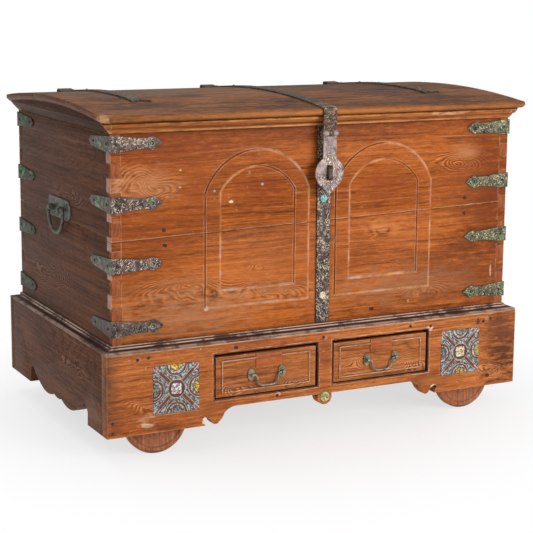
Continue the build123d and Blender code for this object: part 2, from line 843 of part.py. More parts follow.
def strap_section(front_end):
    """A lid strap in section: over the vault, then up from its back shoulder to the top of the hinge eye."""
    with BuildSketch() as section:
        with Locations((vault_y, vault_z)):
            Circle(strap_outer)
            Circle(strap_inner, mode=Mode.SUBTRACT)
        with Locations(((front_end + lift_y) / 2, vault_edge + lid_rise)):
            Rectangle(lift_y - front_end, 4 * lid_rise, mode=Mode.INTERSECT)
        with BuildLine():
            Polyline(
                (lift_y, vault_height(lift_y, strap_inner)),
                (hinge_y, hinge_z + knuckle_radius - strap_thick),
                (hinge_y, hinge_z + knuckle_radius),
                (lift_y, vault_height(lift_y, strap_outer)),
                close=True,
            )
        make_face()
    return section.sketch_local


def forked_plan(strap_x):
    """A lid strap seen from above, flared and notched at its front tip."""
    with BuildSketch() as plan:
        with BuildLine():
            Polyline(
                (strap_x, tip_y + strap_tip_notch),
                (strap_x + strap_tip_flare / 2, tip_y),
                (strap_x + strap_width / 2, tip_y + strap_tip_length),
                (strap_x + strap_width / 2, hinge_y),
                (strap_x - strap_width / 2, hinge_y),
                (strap_x - strap_width / 2, tip_y + strap_tip_length),
                (strap_x - strap_tip_flare / 2, tip_y),
                close=True,
            )
        make_face()
    return plan.sketch_local


for name, strap_x in zip(names, strap_places):
    front_end = lid_front if name == "centre" else tip_y
    with BuildPart() as strap:
        with BuildSketch(side_plane(strap_x - strap_tip_flare / 2)):
            add(strap_section(front_end))
        extrude(amount=strap_tip_flare)
        with BuildSketch(Plane.XY.offset(vault_edge - lid_rise)):
            if name == "centre":
                with Locations((strap_x, (front_end + hinge_y) / 2)):
                    Rectangle(strap_width, hinge_y - front_end)
            else:
                add(forked_plan(strap_x))
        extrude(amount=4 * lid_rise, mode=Mode.INTERSECT)
        # The middle eye of the hinge, with room on both sides of it for the leaf's eyes
        for cut_x in (strap_x - strap_tip_flare / 2, strap_x + knuckle_width / 2):
            room = disc(cut_x, hinge_y, hinge_z, knuckle_radius + knuckle_gap)
            extrude(room, amount=(strap_tip_flare - knuckle_width) / 2, mode=Mode.SUBTRACT)
        extrude(disc(strap_x - knuckle_width / 2, hinge_y, hinge_z, knuckle_radius), amount=knuckle_width)
        bore = disc(strap_x - strap_width, hinge_y, hinge_z, pin_radius + pin_clearance)
        extrude(bore, amount=2 * strap_width, mode=Mode.SUBTRACT)
        if name == "centre":
            # Over the nosing, down the front and into the middle eye of the hasp's knuckle
            drop_low = knuckle_z + knuckle_radius + knuckle_gap
            drop_middle = (drop_low + vault_height(lid_front, strap_outer)) / 2
            with BuildSketch(side_plane(strap_x - strap_width / 2)) as drop_section:
                with Locations((lid_front - strap_thick / 2, drop_middle)):
                    Rectangle(strap_thick, vault_height(lid_front, strap_outer) - drop_low)
                fillet(drop_section.vertices().sort_by(Axis.Y)[-2:].sort_by(Axis.X)[0], strap_bend_radius / 2)
            extrude(amount=strap_width)
            with BuildSketch(side_plane(strap_x - knuckle_width / 2)):
                with Locations((knuckle_y, (knuckle_z + drop_middle) / 2)):
                    Rectangle(strap_thick, drop_middle - knuckle_z)
                with Locations((knuckle_y, knuckle_z)):
                    Circle(knuckle_radius)
            extrude(amount=knuckle_width)
            bore = disc(strap_x - strap_width, knuckle_y, knuckle_z, pin_radius + pin_clearance)
            extrude(bore, amount=2 * strap_width, mode=Mode.SUBTRACT)
    save(strap, f"lid_{name}_strap")

with BuildPart() as hinge_leaves:
    for strap_x in strap_places:
        leaf_x = strap_x - strap_width / 2
        with BuildSketch(side_plane(leaf_x)):
            with BuildLine():
                Polyline(
                    (back_y, rim - leaf_length),
                    (back_y + strap_thick, rim - leaf_length),
                    (back_y + strap_thick, hinge_z - leaf_bend),
                    (hinge_y - knuckle_radius + strap_thick, hinge_z),
                    (hinge_y - knuckle_radius, hinge_z),
                    (back_y, hinge_z - leaf_bend),
                    close=True,
                )
            make_face()
        extrude(amount=strap_width)
        extrude(disc(leaf_x, hinge_y, hinge_z, knuckle_radius), amount=strap_width)
        room = disc(strap_x - knuckle_width / 2 - knuckle_gap, hinge_y, hinge_z, knuckle_radius + knuckle_gap)
        extrude(room, amount=knuckle_width + 2 * knuckle_gap, mode=Mode.SUBTRACT)
        bore = disc(leaf_x, hinge_y, hinge_z, pin_radius + pin_clearance)
        extrude(bore, amount=strap_width, mode=Mode.SUBTRACT)
save(hinge_leaves, "hinge_leaves")

with BuildPart() as hinge_pins:
    for strap_x in strap_places:
        pin_start = strap_x - strap_width / 2 - pin_overhang
        extrude(disc(pin_start, hinge_y, hinge_z, pin_radius), amount=strap_width + 2 * pin_overhang)
save(hinge_pins, "hinge_pins")

# ---------------------------------------------------------------- hasp, its pin and its staple
disc_z = knuckle_z - hasp_disc_drop
tangent_angle = asin(hasp_disc_radius / (hasp_point_drop - hasp_disc_drop))
tangent_x = hasp_disc_radius * cos(tangent_angle)
tangent_z = disc_z - hasp_disc_radius * sin(tangent_angle)
with BuildPart() as hasp:
    with BuildSketch(front_plane(knuckle_y + strap_thick / 2)):
        with Locations((hasp_x, (knuckle_z + disc_z) / 2)):
            Rectangle(strap_width, knuckle_z - disc_z)
        with Locations((hasp_x, disc_z)):
            Circle(hasp_disc_radius)
        Polygon(
            (hasp_x, knuckle_z - hasp_point_drop), (hasp_x + tangent_x, tangent_z), (hasp_x, disc_z),
            (hasp_x - tangent_x, tangent_z), align=None,
        )
        with Locations((hasp_x, disc_z)):
            Rectangle(hasp_slot_width, hasp_slot_height, mode=Mode.SUBTRACT)
    extrude(amount=strap_thick)
    extrude(disc(hasp_x - strap_width / 2, knuckle_y, knuckle_z, knuckle_radius), amount=strap_width)
    room = disc(hasp_x - knuckle_width / 2 - knuckle_gap, knuckle_y, knuckle_z, knuckle_radius + knuckle_gap)
    extrude(room, amount=knuckle_width + 2 * knuckle_gap, mode=Mode.SUBTRACT)
    bore = disc(hasp_x - strap_width / 2, knuckle_y, knuckle_z, pin_radius + pin_clearance)
    extrude(bore, amount=strap_width, mode=Mode.SUBTRACT)
save(hasp, "hasp")

with BuildPart() as hasp_pin:
    head_start = hasp_x - strap_width / 2 - board_gap - hasp_pin_head
    pin_length = strap_width + 2 * (board_gap + hasp_pin_head)
    extrude(disc(head_start, knuckle_y, knuckle_z, pin_radius), amount=pin_length)
    for head_x in (head_start, head_start + pin_length - hasp_pin_head):
        extrude(disc(head_x, knuckle_y, knuckle_z, hasp_pin_head_radius), amount=hasp_pin_head)
save(hasp_pin, "hasp_pin")

staple_foot = front_y - strap_thick
staple_end = front_y - front_reach
staple_x = hasp_x + staple_shift
with BuildPart() as staple:
    with BuildSketch(side_plane(staple_x - staple_width / 2)) as staple_section:
        with Locations(((staple_foot + staple_end) / 2, disc_z)):
            Rectangle(staple_foot - staple_end, staple_height)
        fillet(staple_section.vertices().sort_by(Axis.X)[:2], staple_bar)
        with Locations(((staple_foot + staple_end + staple_bar) / 2, disc_z)):
            Rectangle(
                staple_foot - staple_end - staple_bar, staple_height - 2 * staple_bar, mode=Mode.SUBTRACT
            )
    extrude(amount=staple_width)
save(staple, "hasp_staple")

# ---------------------------------------------------------------- iron on the front of the box
with BuildPart() as front_strap:
    with BuildSketch(front_plane(front_y)):
        with Locations((hasp_x, (moulding_top + front_strap_clear + rim) / 2)):
            Rectangle(strap_width, rim - moulding_top - front_strap_clear)
    extrude(amount=strap_thick)
save(front_strap, "front_centre_strap")

petal_count = 8
petal_radius = strap_boss_radius / 3
with BuildPart() as strap_bosses:
    for height in strap_boss_heights:
        with BuildSketch(front_plane(front_y - strap_thick)):
            with Locations((hasp_x, base_top + height)):
                Circle(strap_boss_radius - petal_radius)
                with PolarLocations(strap_boss_radius - petal_radius, petal_count):
                    Circle(petal_radius)
        extrude(amount=strap_boss_height / 2)
        with BuildSketch(front_plane(front_y - strap_thick)):
            with Locations((hasp_x, base_top + height)):
                Circle(petal_radius)
        extrude(amount=strap_boss_height)
save(strap_bosses, "strap_bosses")

# ---------------------------------------------------------------- corner straps
# Each is bent round a corner: a leg with a lobed point on the front or back, and a tapered leg on the side.
ends = {"front": (front_y, -1), "back": (back_y, 1)}


def leg_outline(corner, inward, middle_z, half_widths):
    """A strap leg's outline, from the corner inward, with its half width at each distance."""
    upper = [(corner + inward * run, middle_z + half) for run, half in half_widths]
    lower = [(corner + inward * run, middle_z - half) for run, half in reversed(half_widths) if half]
    return upper + lower


leg_root = (-corner_strap_thick, corner_strap_half)
end_legs = {
    "front": (leg_root, *front_leg_widths, (corner_strap_length, 0)),
    "back": (leg_root, *back_leg_widths, (back_leg_length, 0)),
}
side_leg = (leg_root, *side_leg_widths, (corner_strap_length, 0))
for end, (face_y, outward) in ends.items():
    for side, sign in sides.items():
        with BuildPart() as corner_straps:
            for height in corner_strap_heights:
                strap_z = base_top + height
                with BuildSketch(front_plane(face_y)):
                    Polygon(*leg_outline(sign * half_body, -sign, strap_z, end_legs[end]), align=None)
                extrude(amount=-outward * corner_strap_thick)
                with BuildSketch(side_plane(sign * half_body)):
                    Polygon(*leg_outline(face_y, -outward, strap_z, side_leg), align=None)
                extrude(amount=sign * corner_strap_thick)
        save(corner_straps, f"{end}_{side}_corner_straps")


# ---------------------------------------------------------------- nails
def nail_head(point, outward):
    """One rose-headed nail: a low cone that stands on a surface."""
    with Locations(Plane(origin=point, z_dir=outward)):
        Cone(nail_radius, nail_radius / 2, nail_height, align=(Align.CENTER, Align.CENTER, Align.MIN))


end_nail_runs = {"front": front_nail_runs, "back": back_nail_runs}
front_nails = (
    (upper_base_nails, half_base, base_front, base_top),
    (lower_base_nails, half_base, base_front, base_low),
    (body_nails, half_body, front_y, base_top),
)
with BuildPart() as chest_nails:
    for end, (face_y, outward) in ends.items():
        for sign in sides.values():
            for height in corner_strap_heights:
                nail_z = base_top + height
                for run in end_nail_runs[end]:
                    nail_x = sign * (half_body - run)
                    nail_head((nail_x, face_y + outward * corner_strap_thick, nail_z), (0, outward, 0))
                for run in side_nail_runs:
                    nail_y = face_y - outward * run
                    nail_head((sign * (half_body + corner_strap_thick), nail_y, nail_z), (sign, 0, 0))
    for nails, half_width, face_y, edge_z in front_nails:
        for origin_x, places in zip((-half_width, 0, half_width), nails.values()):
            for run, up in places:
                nail_head((origin_x + run, face_y, edge_z + up), (0, -1, 0))
save(chest_nails, "chest_nails")

with BuildPart() as lid_nails:
    for name, strap_x in zip(names, strap_places):
        nearest = lid_front if name == "centre" else tip_y
        nail_y = lift_y - lid_nail_pitch / 4
        while nail_y > nearest + strap_tip_notch + nail_radius:
            lean = asin((nail_y - vault_y) / strap_outer)
            head_z = vault_height(nail_y, strap_outer)
            nail_head((strap_x, nail_y, head_z), (0, sin(lean), cos(lean)))
            nail_y -= lid_nail_pitch
save(lid_nails, "lid_strap_nails")
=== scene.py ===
# %% [markdown]
# # An old dowry chest
# A boarded chest with a shallow vaulted lid stands on a low base with two drawers and four wheels. The joinery,
# the sizes and the moving bodies come from the construction model. This notebook gives the chest its worn edges,
# hammered iron, painted tiles and old wood. Everything is in metres, with +Z up and the front facing -Y.

# %% Load the construction model
import json
from math import cos, pi, radians, sin

import bpy
from mathutils import Matrix, Vector


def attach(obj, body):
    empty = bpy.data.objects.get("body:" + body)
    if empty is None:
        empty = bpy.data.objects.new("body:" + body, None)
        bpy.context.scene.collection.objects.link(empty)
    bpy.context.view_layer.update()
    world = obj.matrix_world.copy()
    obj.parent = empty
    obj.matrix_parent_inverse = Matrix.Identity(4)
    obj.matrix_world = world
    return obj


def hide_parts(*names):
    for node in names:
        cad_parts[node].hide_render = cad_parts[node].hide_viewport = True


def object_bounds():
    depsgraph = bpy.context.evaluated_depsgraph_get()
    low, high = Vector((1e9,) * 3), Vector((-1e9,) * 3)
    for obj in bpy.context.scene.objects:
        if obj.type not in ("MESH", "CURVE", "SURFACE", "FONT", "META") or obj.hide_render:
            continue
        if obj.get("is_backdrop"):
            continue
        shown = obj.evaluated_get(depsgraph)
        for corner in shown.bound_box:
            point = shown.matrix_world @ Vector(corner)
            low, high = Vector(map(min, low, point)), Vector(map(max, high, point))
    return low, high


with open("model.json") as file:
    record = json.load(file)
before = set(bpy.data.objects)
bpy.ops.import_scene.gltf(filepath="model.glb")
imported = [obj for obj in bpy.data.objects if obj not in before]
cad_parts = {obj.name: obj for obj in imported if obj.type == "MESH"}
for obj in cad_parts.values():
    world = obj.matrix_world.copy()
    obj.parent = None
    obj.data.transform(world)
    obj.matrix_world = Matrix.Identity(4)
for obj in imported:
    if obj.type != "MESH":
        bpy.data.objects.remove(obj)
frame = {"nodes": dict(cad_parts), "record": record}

cad_low, cad_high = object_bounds()
print("chest measures", [round(size, 4) for size in cad_high - cad_low], "with", len(frame["nodes"]), "pieces")

# %% [markdown]
# ## Camera
# The picture looks at the left front corner from a little above the lid, through a long lens, so that the uprights
# stay almost parallel. Its turn, tilt and small roll are set as one rotation, which is easier to check than three
# angles worked out by hand. A small shift frames the chest without turning the camera.

# %% Camera
camera_turn, camera_tilt, camera_roll = radians(28.15), radians(-9.96), 0.01072
camera_data = bpy.data.cameras.new("studio_camera")
camera_data.lens, camera_data.sensor_width = 100.12, 36
camera_data.shift_x, camera_data.shift_y = -0.04938, -0.05668
camera = bpy.data.objects.new("studio_camera", camera_data)
bpy.context.scene.collection.objects.link(camera)
camera.matrix_world = (
    Matrix.Translation((-1.75175, -3.44833, 1.12068))
    @ Matrix.Rotation(-camera_turn, 4, "Z")
    @ Matrix.Rotation(pi / 2 + camera_tilt, 4, "X")
    @ Matrix.Rotation(camera_roll, 4, "Z")
)
bpy.context.scene.camera = camera
print("camera looks along", [round(part, 3) for part in -camera.matrix_world.col[2].xyz])

# %% [markdown]
# ## Studio
# One large soft lamp from the front right shapes the chest, one from above lights the lid, and a weaker one fills
# the shaded left side. The strengths are chosen so that a colour on the front renders about as it is written.

# %% Lamps
def lamp(name, place, aim, width, power):
    """Adds a square soft lamp at a place, turned towards what it lights."""
    data = bpy.data.lights.new(name, "AREA")
    data.shape, data.size, data.energy = "SQUARE", width, power
    light = bpy.data.objects.new(name, data)
    bpy.context.scene.collection.objects.link(light)
    light.location = place
    light.rotation_euler = (Vector(aim) - Vector(place)).to_track_quat("-Z", "Y").to_euler()
    return light


lamp("key_lamp", (1.7, -4.1, 1.9), (0, 0, 0.45), 2.4, 136)
lamp("top_lamp", (-0.4, 0.8, 3.6), (0, 0, 0.8), 2.6, 42)
lamp("side_lamp", (-3.6, -0.6, 1.6), (0, 0, 0.5), 2.0, 12)

# %% [markdown]
# ## White room
# A plain white floor and a white world give a clean background. The camera sees the world as pure white, but the
# light that the world gives is kept low, so that the lamps can do the shaping. The floor gets its finish last.

# %% World and floor
world = bpy.data.worlds.new("white_room")
bpy.context.scene.world = world
world.use_nodes = True
room = world.node_tree
room.nodes.clear()
sight = room.nodes.new("ShaderNodeLightPath")
seen = room.nodes.new("ShaderNodeBackground")
seen.inputs["Color"].default_value = (1, 1, 1, 1)
seen.inputs["Strength"].default_value = 1
glow = room.nodes.new("ShaderNodeBackground")
glow.inputs["Color"].default_value = (1, 0.98, 0.95, 1)
glow.inputs["Strength"].default_value = 0.36
either = room.nodes.new("ShaderNodeMixShader")
room.links.new(sight.outputs["Is Camera Ray"], either.inputs[0])
room.links.new(glow.outputs[0], either.inputs[1])
room.links.new(seen.outputs[0], either.inputs[2])
room.links.new(either.outputs[0], room.nodes.new("ShaderNodeOutputWorld").inputs["Surface"])

bpy.ops.object.select_all(action="DESELECT")
bpy.ops.mesh.primitive_plane_add(size=60, location=(0, 0, 0))
floor = bpy.context.object
floor.name = "studio_floor"
floor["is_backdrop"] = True
bpy.context.scene.view_settings.view_transform = "Standard"
print("world has", len(room.nodes), "nodes, and the floor is", floor.dimensions.x, "m wide")

# %% [markdown]
# ## Small tools for shader nodes
# Old wood and iron need many nodes. A few helpers keep that readable: one adds a node and fills its sockets, and
# the others do a sum, map a range, mix two colours or give noise. Colours are written as they look on a screen,
# from 0 to 255, and turned into the linear values that shaders use.

# %% Shader tools
def tone(red, green, blue):
    """A screen colour as a linear shader colour."""
    parts = [part / 255 for part in (red, green, blue)]
    return (*[part / 12.92 if part <= 0.04045 else ((part + 0.055) / 1.055) ** 2.4 for part in parts], 1)


def put(tree, kind, sockets, **settings):
    """Adds a node with its settings, and gives its sockets a value or a link."""
    node = tree.nodes.new("ShaderNode" + kind)
    for name, value in settings.items():
        setattr(node, name, value)
    for name, value in sockets.items():
        if isinstance(value, bpy.types.NodeSocket):
            tree.links.new(value, node.inputs[name])
        else:
            node.inputs[name].default_value = value
    return node


def sums(tree, operation, *values):
    """The result of one Math node."""
    return put(tree, "Math", dict(enumerate(values)), operation=operation).outputs[0]


def spread(tree, value, low, high, start=0, end=1):
    """Maps a value from one range to another and keeps it inside."""
    return put(tree, "MapRange", {0: value, 1: low, 2: high, 3: start, 4: end}).outputs[0]


def blend(tree, factor, first, second):
    """Mixes two colours."""
    return put(tree, "Mix", {0: factor, 6: first, 7: second}, data_type="RGBA").outputs[2]


def cloud(tree, vector, scale, detail=3, roughness=0.55, stretch=(1, 1, 1)):
    """Noise on coordinates that are stretched first, as a value."""
    moved = put(tree, "Mapping", {"Vector": vector, "Scale": stretch}).outputs[0]
    sockets = {"Vector": moved, "Scale": scale, "Detail": detail, "Roughness": roughness}
    return put(tree, "TexNoise", sockets).outputs[0]


print("white as a shader colour:", tone(255, 255, 255))

# %% [markdown]
# ## Larger tools for shader nodes
# Some things come back in many finishes: a thin line where a value is near a level, a place that is moved about by
# noise, and the start and end of a material. A group is a set of nodes with named inputs and outputs, so that one
# timber or metal serves many materials.

# %% Shader parts
def axes(tree, vector):
    """The three parts of a vector."""
    return put(tree, "SeparateXYZ", {0: vector}).outputs


def size_of(tree, vector):
    """The length of a vector."""
    return put(tree, "VectorMath", {0: vector}, operation="LENGTH").outputs[1]


def stripe(tree, value, level, core, rim, strength=1):
    """A soft line where a value is near a level: full inside the core, and gone at the rim."""
    away = sums(tree, "ABSOLUTE", sums(tree, "SUBTRACT", value, level))
    return spread(tree, away, core, rim, strength, 0)


def wander(tree, vector, scale, detail, amount):
    """A vector moved about by noise."""
    sockets = {"Vector": vector, "Scale": scale, "Detail": detail, "Roughness": 0.5}
    noise = put(tree, "TexNoise", sockets).outputs[1]
    noise = put(tree, "VectorMath", {0: noise, 1: (0.5, 0.5, 0.5)}, operation="SUBTRACT").outputs[0]
    noise = put(tree, "VectorMath", {0: noise, "Scale": amount}, operation="SCALE").outputs[0]
    return put(tree, "VectorMath", {0: vector, 1: noise}, operation="ADD").outputs[0]


def around(centre, size):
    """The start and scale that turn a place into steps of a size round a centre."""
    scale = tuple(1 / part for part in size)
    return tuple(-part * step for part, step in zip(centre, scale)), scale


def start_material(name):
    """Starts a material with an empty tree, and gives both with the place on the piece."""
    material = bpy.data.materials.new(name)
    material.use_nodes = True
    material.node_tree.nodes.clear()
    return material, material.node_tree, put(material.node_tree, "TexCoord", {}).outputs["Object"]


def end_material(tree, sockets):
    """Gives a material its shader."""
    shader = put(tree, "BsdfPrincipled", sockets)
    put(tree, "OutputMaterial", {"Surface": shader.outputs[0]})


def start_group(name, inputs, outputs):
    """Starts a shader group with its named inputs and outputs."""
    tree = bpy.data.node_groups.new(name, "ShaderNodeTree")
    for label, kind, value in inputs:
        socket = tree.interface.new_socket(name=label, in_out="INPUT", socket_type="NodeSocket" + kind)
        socket.default_value = value
    for label, kind in outputs:
        tree.interface.new_socket(name=label, in_out="OUTPUT", socket_type="NodeSocket" + kind)
    entry, result = tree.nodes.new("NodeGroupInput"), tree.nodes.new("NodeGroupOutput")
    return tree, entry.outputs, result.inputs


def use_group(tree, group, sockets):
    """Places a group in a material and fills its inputs."""
    return put(tree, "Group", sockets, node_tree=group).outputs


print("a size of 0.1 m is a scale of", around((0, 0, 0), (0.1, 0.1, 0.1))[1][0])

# %% [markdown]
# ## Timber
# Sawn teak shows four things at once: growth rings cut into long lines and swirls, long vessels that follow them,
# fine fibres with short pores, and slow changes of colour. The rings are the contour lines of a noise that is
# stretched along the grain, which bend round knots as real ones do. A saw-tooth or wave pattern would look
# printed. The grain runs along X of the vector that comes in, and the material turns that vector for each board.

# %% Timber group
timber, given, gives = start_group(
    "timber",
    [("Vector", "Vector", (0, 0, 0)), ("Pale", "Color", tone(190, 120, 72)), ("Middle", "Color", tone(165, 90, 46)),
     ("Dark", "Color", tone(96, 46, 24)), ("Rings", "Float", 60.0), ("Figure", "Float", 0.6),
     ("Streaks", "Float", 0.6), ("Lift", "Float", 0.0), ("Sapwood", "Color", tone(224, 164, 116))],
    [("Color", "Color"), ("Height", "Float"), ("Lines", "Float")],
)
along = put(timber, "Mapping", {"Vector": given["Vector"], "Scale": (1.0, 6.5, 6.5)}).outputs[0]
bent = wander(timber, along, 2.6, 3.0, 0.16)
growth = put(timber, "TexNoise", {"Vector": bent, "Scale": 0.8, "Detail": 0.6, "Roughness": 0.4}).outputs[0]
growth = sums(timber, "MULTIPLY", sums(timber, "ADD", growth, given["Lift"]), given["Rings"])
ring = sums(timber, "MULTIPLY", sums(timber, "PINGPONG", growth, 0.5), 2.0)
line = sums(timber, "POWER", spread(timber, ring, 0, 0.55, 1, 0), 1.8)
fibres = cloud(timber, given["Vector"], 1, 4, 0.7, (9, 380, 380))
strands = cloud(timber, given["Vector"], 1, 5, 0.65, (2.8, 75, 75))
pores = cloud(timber, given["Vector"], 1, 3, 0.75, (14, 210, 210))
patches = cloud(timber, given["Vector"], 1, 4, 0.6, (3, 7, 7))
busy = spread(timber, cloud(timber, given["Vector"], 1, 3, 0.5, (2.6, 7, 7)), 0.46, 0.66, 0.08, 0.8)
knotty = spread(timber, given["Lift"], 0.004, 0.03)
busy = sums(timber, "MAXIMUM", busy, knotty)
colour = blend(timber, spread(timber, patches, 0.36, 0.64), given["Pale"], given["Middle"])
colour = blend(timber, spread(timber, strands, 0.44, 0.7, 0, 0.7), colour, given["Middle"])
shown = sums(timber, "MULTIPLY_ADD", busy, given["Figure"], sums(timber, "MULTIPLY", knotty, 0.45))
shown = sums(timber, "MINIMUM", sums(timber, "MULTIPLY", line, shown), 1)
colour = blend(timber, shown, colour, given["Dark"])
between = sums(timber, "MULTIPLY", spread(timber, ring, 0.55, 0.9), sums(timber, "MULTIPLY", knotty, 0.7))
colour = blend(timber, between, colour, given["Sapwood"])
vessels = cloud(timber, bent, 1, 5, 0.72, (1.5, 21, 21))
colour = blend(timber, spread(timber, vessels, 0.51, 0.66, 0, 0.75), colour, given["Dark"])
colour = blend(timber, spread(timber, vessels, 0.45, 0.32, 0, 0.45), colour, given["Sapwood"])
flecks = cloud(timber, given["Vector"], 1, 3, 0.7, (60, 260, 260))
colour = blend(timber, spread(timber, flecks, 0.52, 0.7, 0, 0.35), colour, given["Dark"])
colour = blend(timber, spread(timber, flecks, 0.46, 0.32, 0, 0.25), colour, given["Sapwood"])
streak = sums(timber, "MAXIMUM", spread(timber, fibres, 0.5, 0.74), spread(timber, pores, 0.53, 0.72))
colour = blend(timber, sums(timber, "MULTIPLY", streak, given["Streaks"]), colour, given["Dark"])
glints = sums(timber, "MULTIPLY", spread(timber, pores, 0.47, 0.3), 0.5)
colour = blend(timber, glints, colour, given["Pale"])
timber.links.new(colour, gives["Color"])
timber.links.new(sums(timber, "SUBTRACT", sums(timber, "MULTIPLY", fibres, -0.5), shown), gives["Height"])
timber.links.new(shown, gives["Lines"])
print("timber group has", len(timber.nodes), "nodes")

# %% [markdown]
# ## Age
# Two hundred years rub the corners pale and fill the hollows with dark wax and dust. Ambient Occlusion finds
# both: traced into the piece it is dark along outside corners, traced outwards it is dark in crevices, so that the
# darkening in crevices is painted shade as well as dust. Noise breaks both up, because wear is never even. Small
# nicks and rubbed spots come from a threshold on a finer noise.

# %% Age group
age, given, gives = start_group(
    "age",
    [("Vector", "Vector", (0, 0, 0)), ("Color", "Color", tone(150, 90, 50)), ("Worn", "Color", tone(214, 176, 132)),
     ("Dirt", "Color", tone(38, 24, 18)), ("Corner Width", "Float", 0.004), ("Wear", "Float", 0.8),
     ("Crevice", "Float", 0.8), ("Nicks", "Float", 0.5)],
    [("Color", "Color"), ("Rubbed", "Float")],
)
inner = put(age, "AmbientOcclusion", {"Distance": given["Corner Width"]}, samples=6, inside=True, only_local=True)
corner = sums(age, "SUBTRACT", 1, inner.outputs["AO"])
broken = spread(age, cloud(age, given["Vector"], 34, 5, 0.65), 0.36, 0.62)
rubbed = spread(age, corner, 0.12, 0.5)
rubbed = sums(age, "MULTIPLY", sums(age, "MULTIPLY", rubbed, broken), given["Wear"])
# traced outwards, occlusion darkens crevices and the gaps between parts: painted shade as well as dust
outer = put(age, "AmbientOcclusion", {"Distance": 0.009}, samples=6)
crevice = spread(age, outer.outputs["AO"], 0.42, 0.9, 1, 0)
crevice = sums(age, "MULTIPLY", crevice, given["Crevice"])
chips = spread(age, cloud(age, given["Vector"], 95, 3, 0.5, (0.6, 1, 1)), 0.7, 0.74)
some = spread(age, cloud(age, given["Vector"], 6, 2, 0.5), 0.5, 0.66)
chips = sums(age, "MULTIPLY", sums(age, "MULTIPLY", chips, some), given["Nicks"])
scrape = spread(age, cloud(age, given["Vector"], 1, 2, 0.4, (9, 40, 150)), 0.7, 0.78, 0, 0.5)
scrape = sums(age, "MULTIPLY", scrape, given["Nicks"])
aged = blend(age, scrape, given["Color"], given["Dirt"])
bare = sums(age, "MINIMUM", sums(age, "ADD", rubbed, chips), 1)
aged = blend(age, bare, aged, given["Worn"])
# crevices take the dark colour, as painted shade and dust
aged = blend(age, crevice, aged, given["Dirt"])
age.links.new(aged, gives["Color"])
age.links.new(bare, gives["Rubbed"])
print("age group has", len(age.nodes), "nodes")

# %% [markdown]
# ## Stains and repairs
# An old board is never one colour. A stain is an ellipsoid round a point on the board, with an edge broken up by
# noise, that pulls the colour towards a tint. The same group gives a dark margin, a pale rubbed swirl, a plug of
# redder wood or an empty nail hole, because only its size, tint and raggedness change.

# %% Stain group
stain, given, gives = start_group(
    "stain",
    [("Vector", "Vector", (0, 0, 0)), ("Color", "Color", tone(150, 90, 50)), ("Tint", "Color", tone(100, 50, 30)),
     ("Start", "Vector", (0, 0, 0)), ("Reach", "Vector", (1, 1, 1)), ("Ragged", "Float", 0.5),
     ("Strength", "Float", 0.5), ("Soft", "Float", 0.2)],
    [("Color", "Color")],
)
near = put(stain, "Mapping", {"Vector": given["Vector"], "Location": given["Start"], "Scale": given["Reach"]})
far = size_of(stain, near.outputs[0])
uneven = sums(stain, "SUBTRACT", cloud(stain, given["Vector"], 1, 6, 0.7, (24, 80, 80)), 0.5)
shift = sums(stain, "MULTIPLY", uneven, sums(stain, "MULTIPLY", given["Ragged"], 2.6))
inside = spread(stain, sums(stain, "ADD", far, shift), given["Soft"], 1.0, 1, 0)
mask = sums(stain, "MULTIPLY", inside, given["Strength"])
stain.links.new(blend(stain, mask, given["Color"], given["Tint"]), gives["Color"])
print("stain group has", len(stain.nodes), "nodes")

# %% [markdown]
# ## Edges of the arches
# The arches are flat bands raised on the planks. Their edges carry painted light: the edges that face right and the
# bottom edges get a painted highlight and those that face left a painted shade, so that the edges read as drawn
# lines. The distance to each edge is worked out from its circle and its uprights, and a thin line round zero is kept.
# The leaning joint between the two planks is drawn in the same way, as a worn pale line above a dark joint line.

# %% Arch edge group
arch_middle = 0.176
joint_slope, joint_height = 0.02636, 0.5315
arches, given, gives = start_group(
    "arch edges with painted light", [("Vector", "Vector", (0, 0, 0))], [("Pale", "Float"), ("Dark", "Float")],
)
spot = axes(arches, given["Vector"])
away = sums(arches, "MULTIPLY_ADD", sums(arches, "SIGN", spot[0]), -arch_middle, spot[0])
apart = sums(arches, "ABSOLUTE", away)
uneven = sums(arches, "SUBTRACT", cloud(arches, given["Vector"], 22, 4, 0.6), 0.5)
right = spread(arches, away, -0.012, 0.012)
left = sums(arches, "SUBTRACT", 1, right)
front_only = spread(arches, spot[1], -0.318, -0.322)
pale, dark = 0.0, 0.0
for half, radius, centre, foot, pale_side, dark_side, depth in (
    (0.1385, 0.1461, 0.5699, 0.342, right, left, 0.7), (0.0990, 0.1126, 0.5629, 0.382, left, right, 0.22),
):
    rise = sums(arches, "MAXIMUM", sums(arches, "SUBTRACT", spot[2], centre), 0)
    out = size_of(arches, put(arches, "CombineXYZ", {0: away, 1: rise}).outputs[0])
    beside = sums(arches, "MAXIMUM", sums(arches, "SUBTRACT", out, radius), sums(arches, "SUBTRACT", apart, half))
    below = sums(arches, "SUBTRACT", foot, spot[2])
    edge = sums(arches, "ABSOLUTE", sums(arches, "MAXIMUM", beside, below))
    low = spread(arches, sums(arches, "SUBTRACT", below, beside), -0.002, 0.0)
    wide = sums(arches, "MULTIPLY_ADD", uneven, 0.007, edge)
    drawn = spread(arches, wide, 0.0006, 0.0026, 1, 0)
    # painted highlight on the edges that face right and on the bottom edges
    pale = sums(arches, "MAXIMUM", pale, sums(arches, "MULTIPLY", drawn, sums(arches, "MAXIMUM", pale_side, low)))
    pale = sums(arches, "MAXIMUM", pale, stripe(arches, wide, 0.0026, 0.0003, 0.0016, 0.5))
    thin = spread(arches, edge, 0.0006, 0.0016, 1, 0)
    # painted shade on the edges that face left, less along the bottom
    drawn = sums(arches, "MULTIPLY", thin, sums(arches, "SUBTRACT", sums(arches, "MAXIMUM", dark_side, 0.5), low))
    dark = sums(arches, "MAXIMUM", dark, sums(arches, "MULTIPLY", drawn, depth))
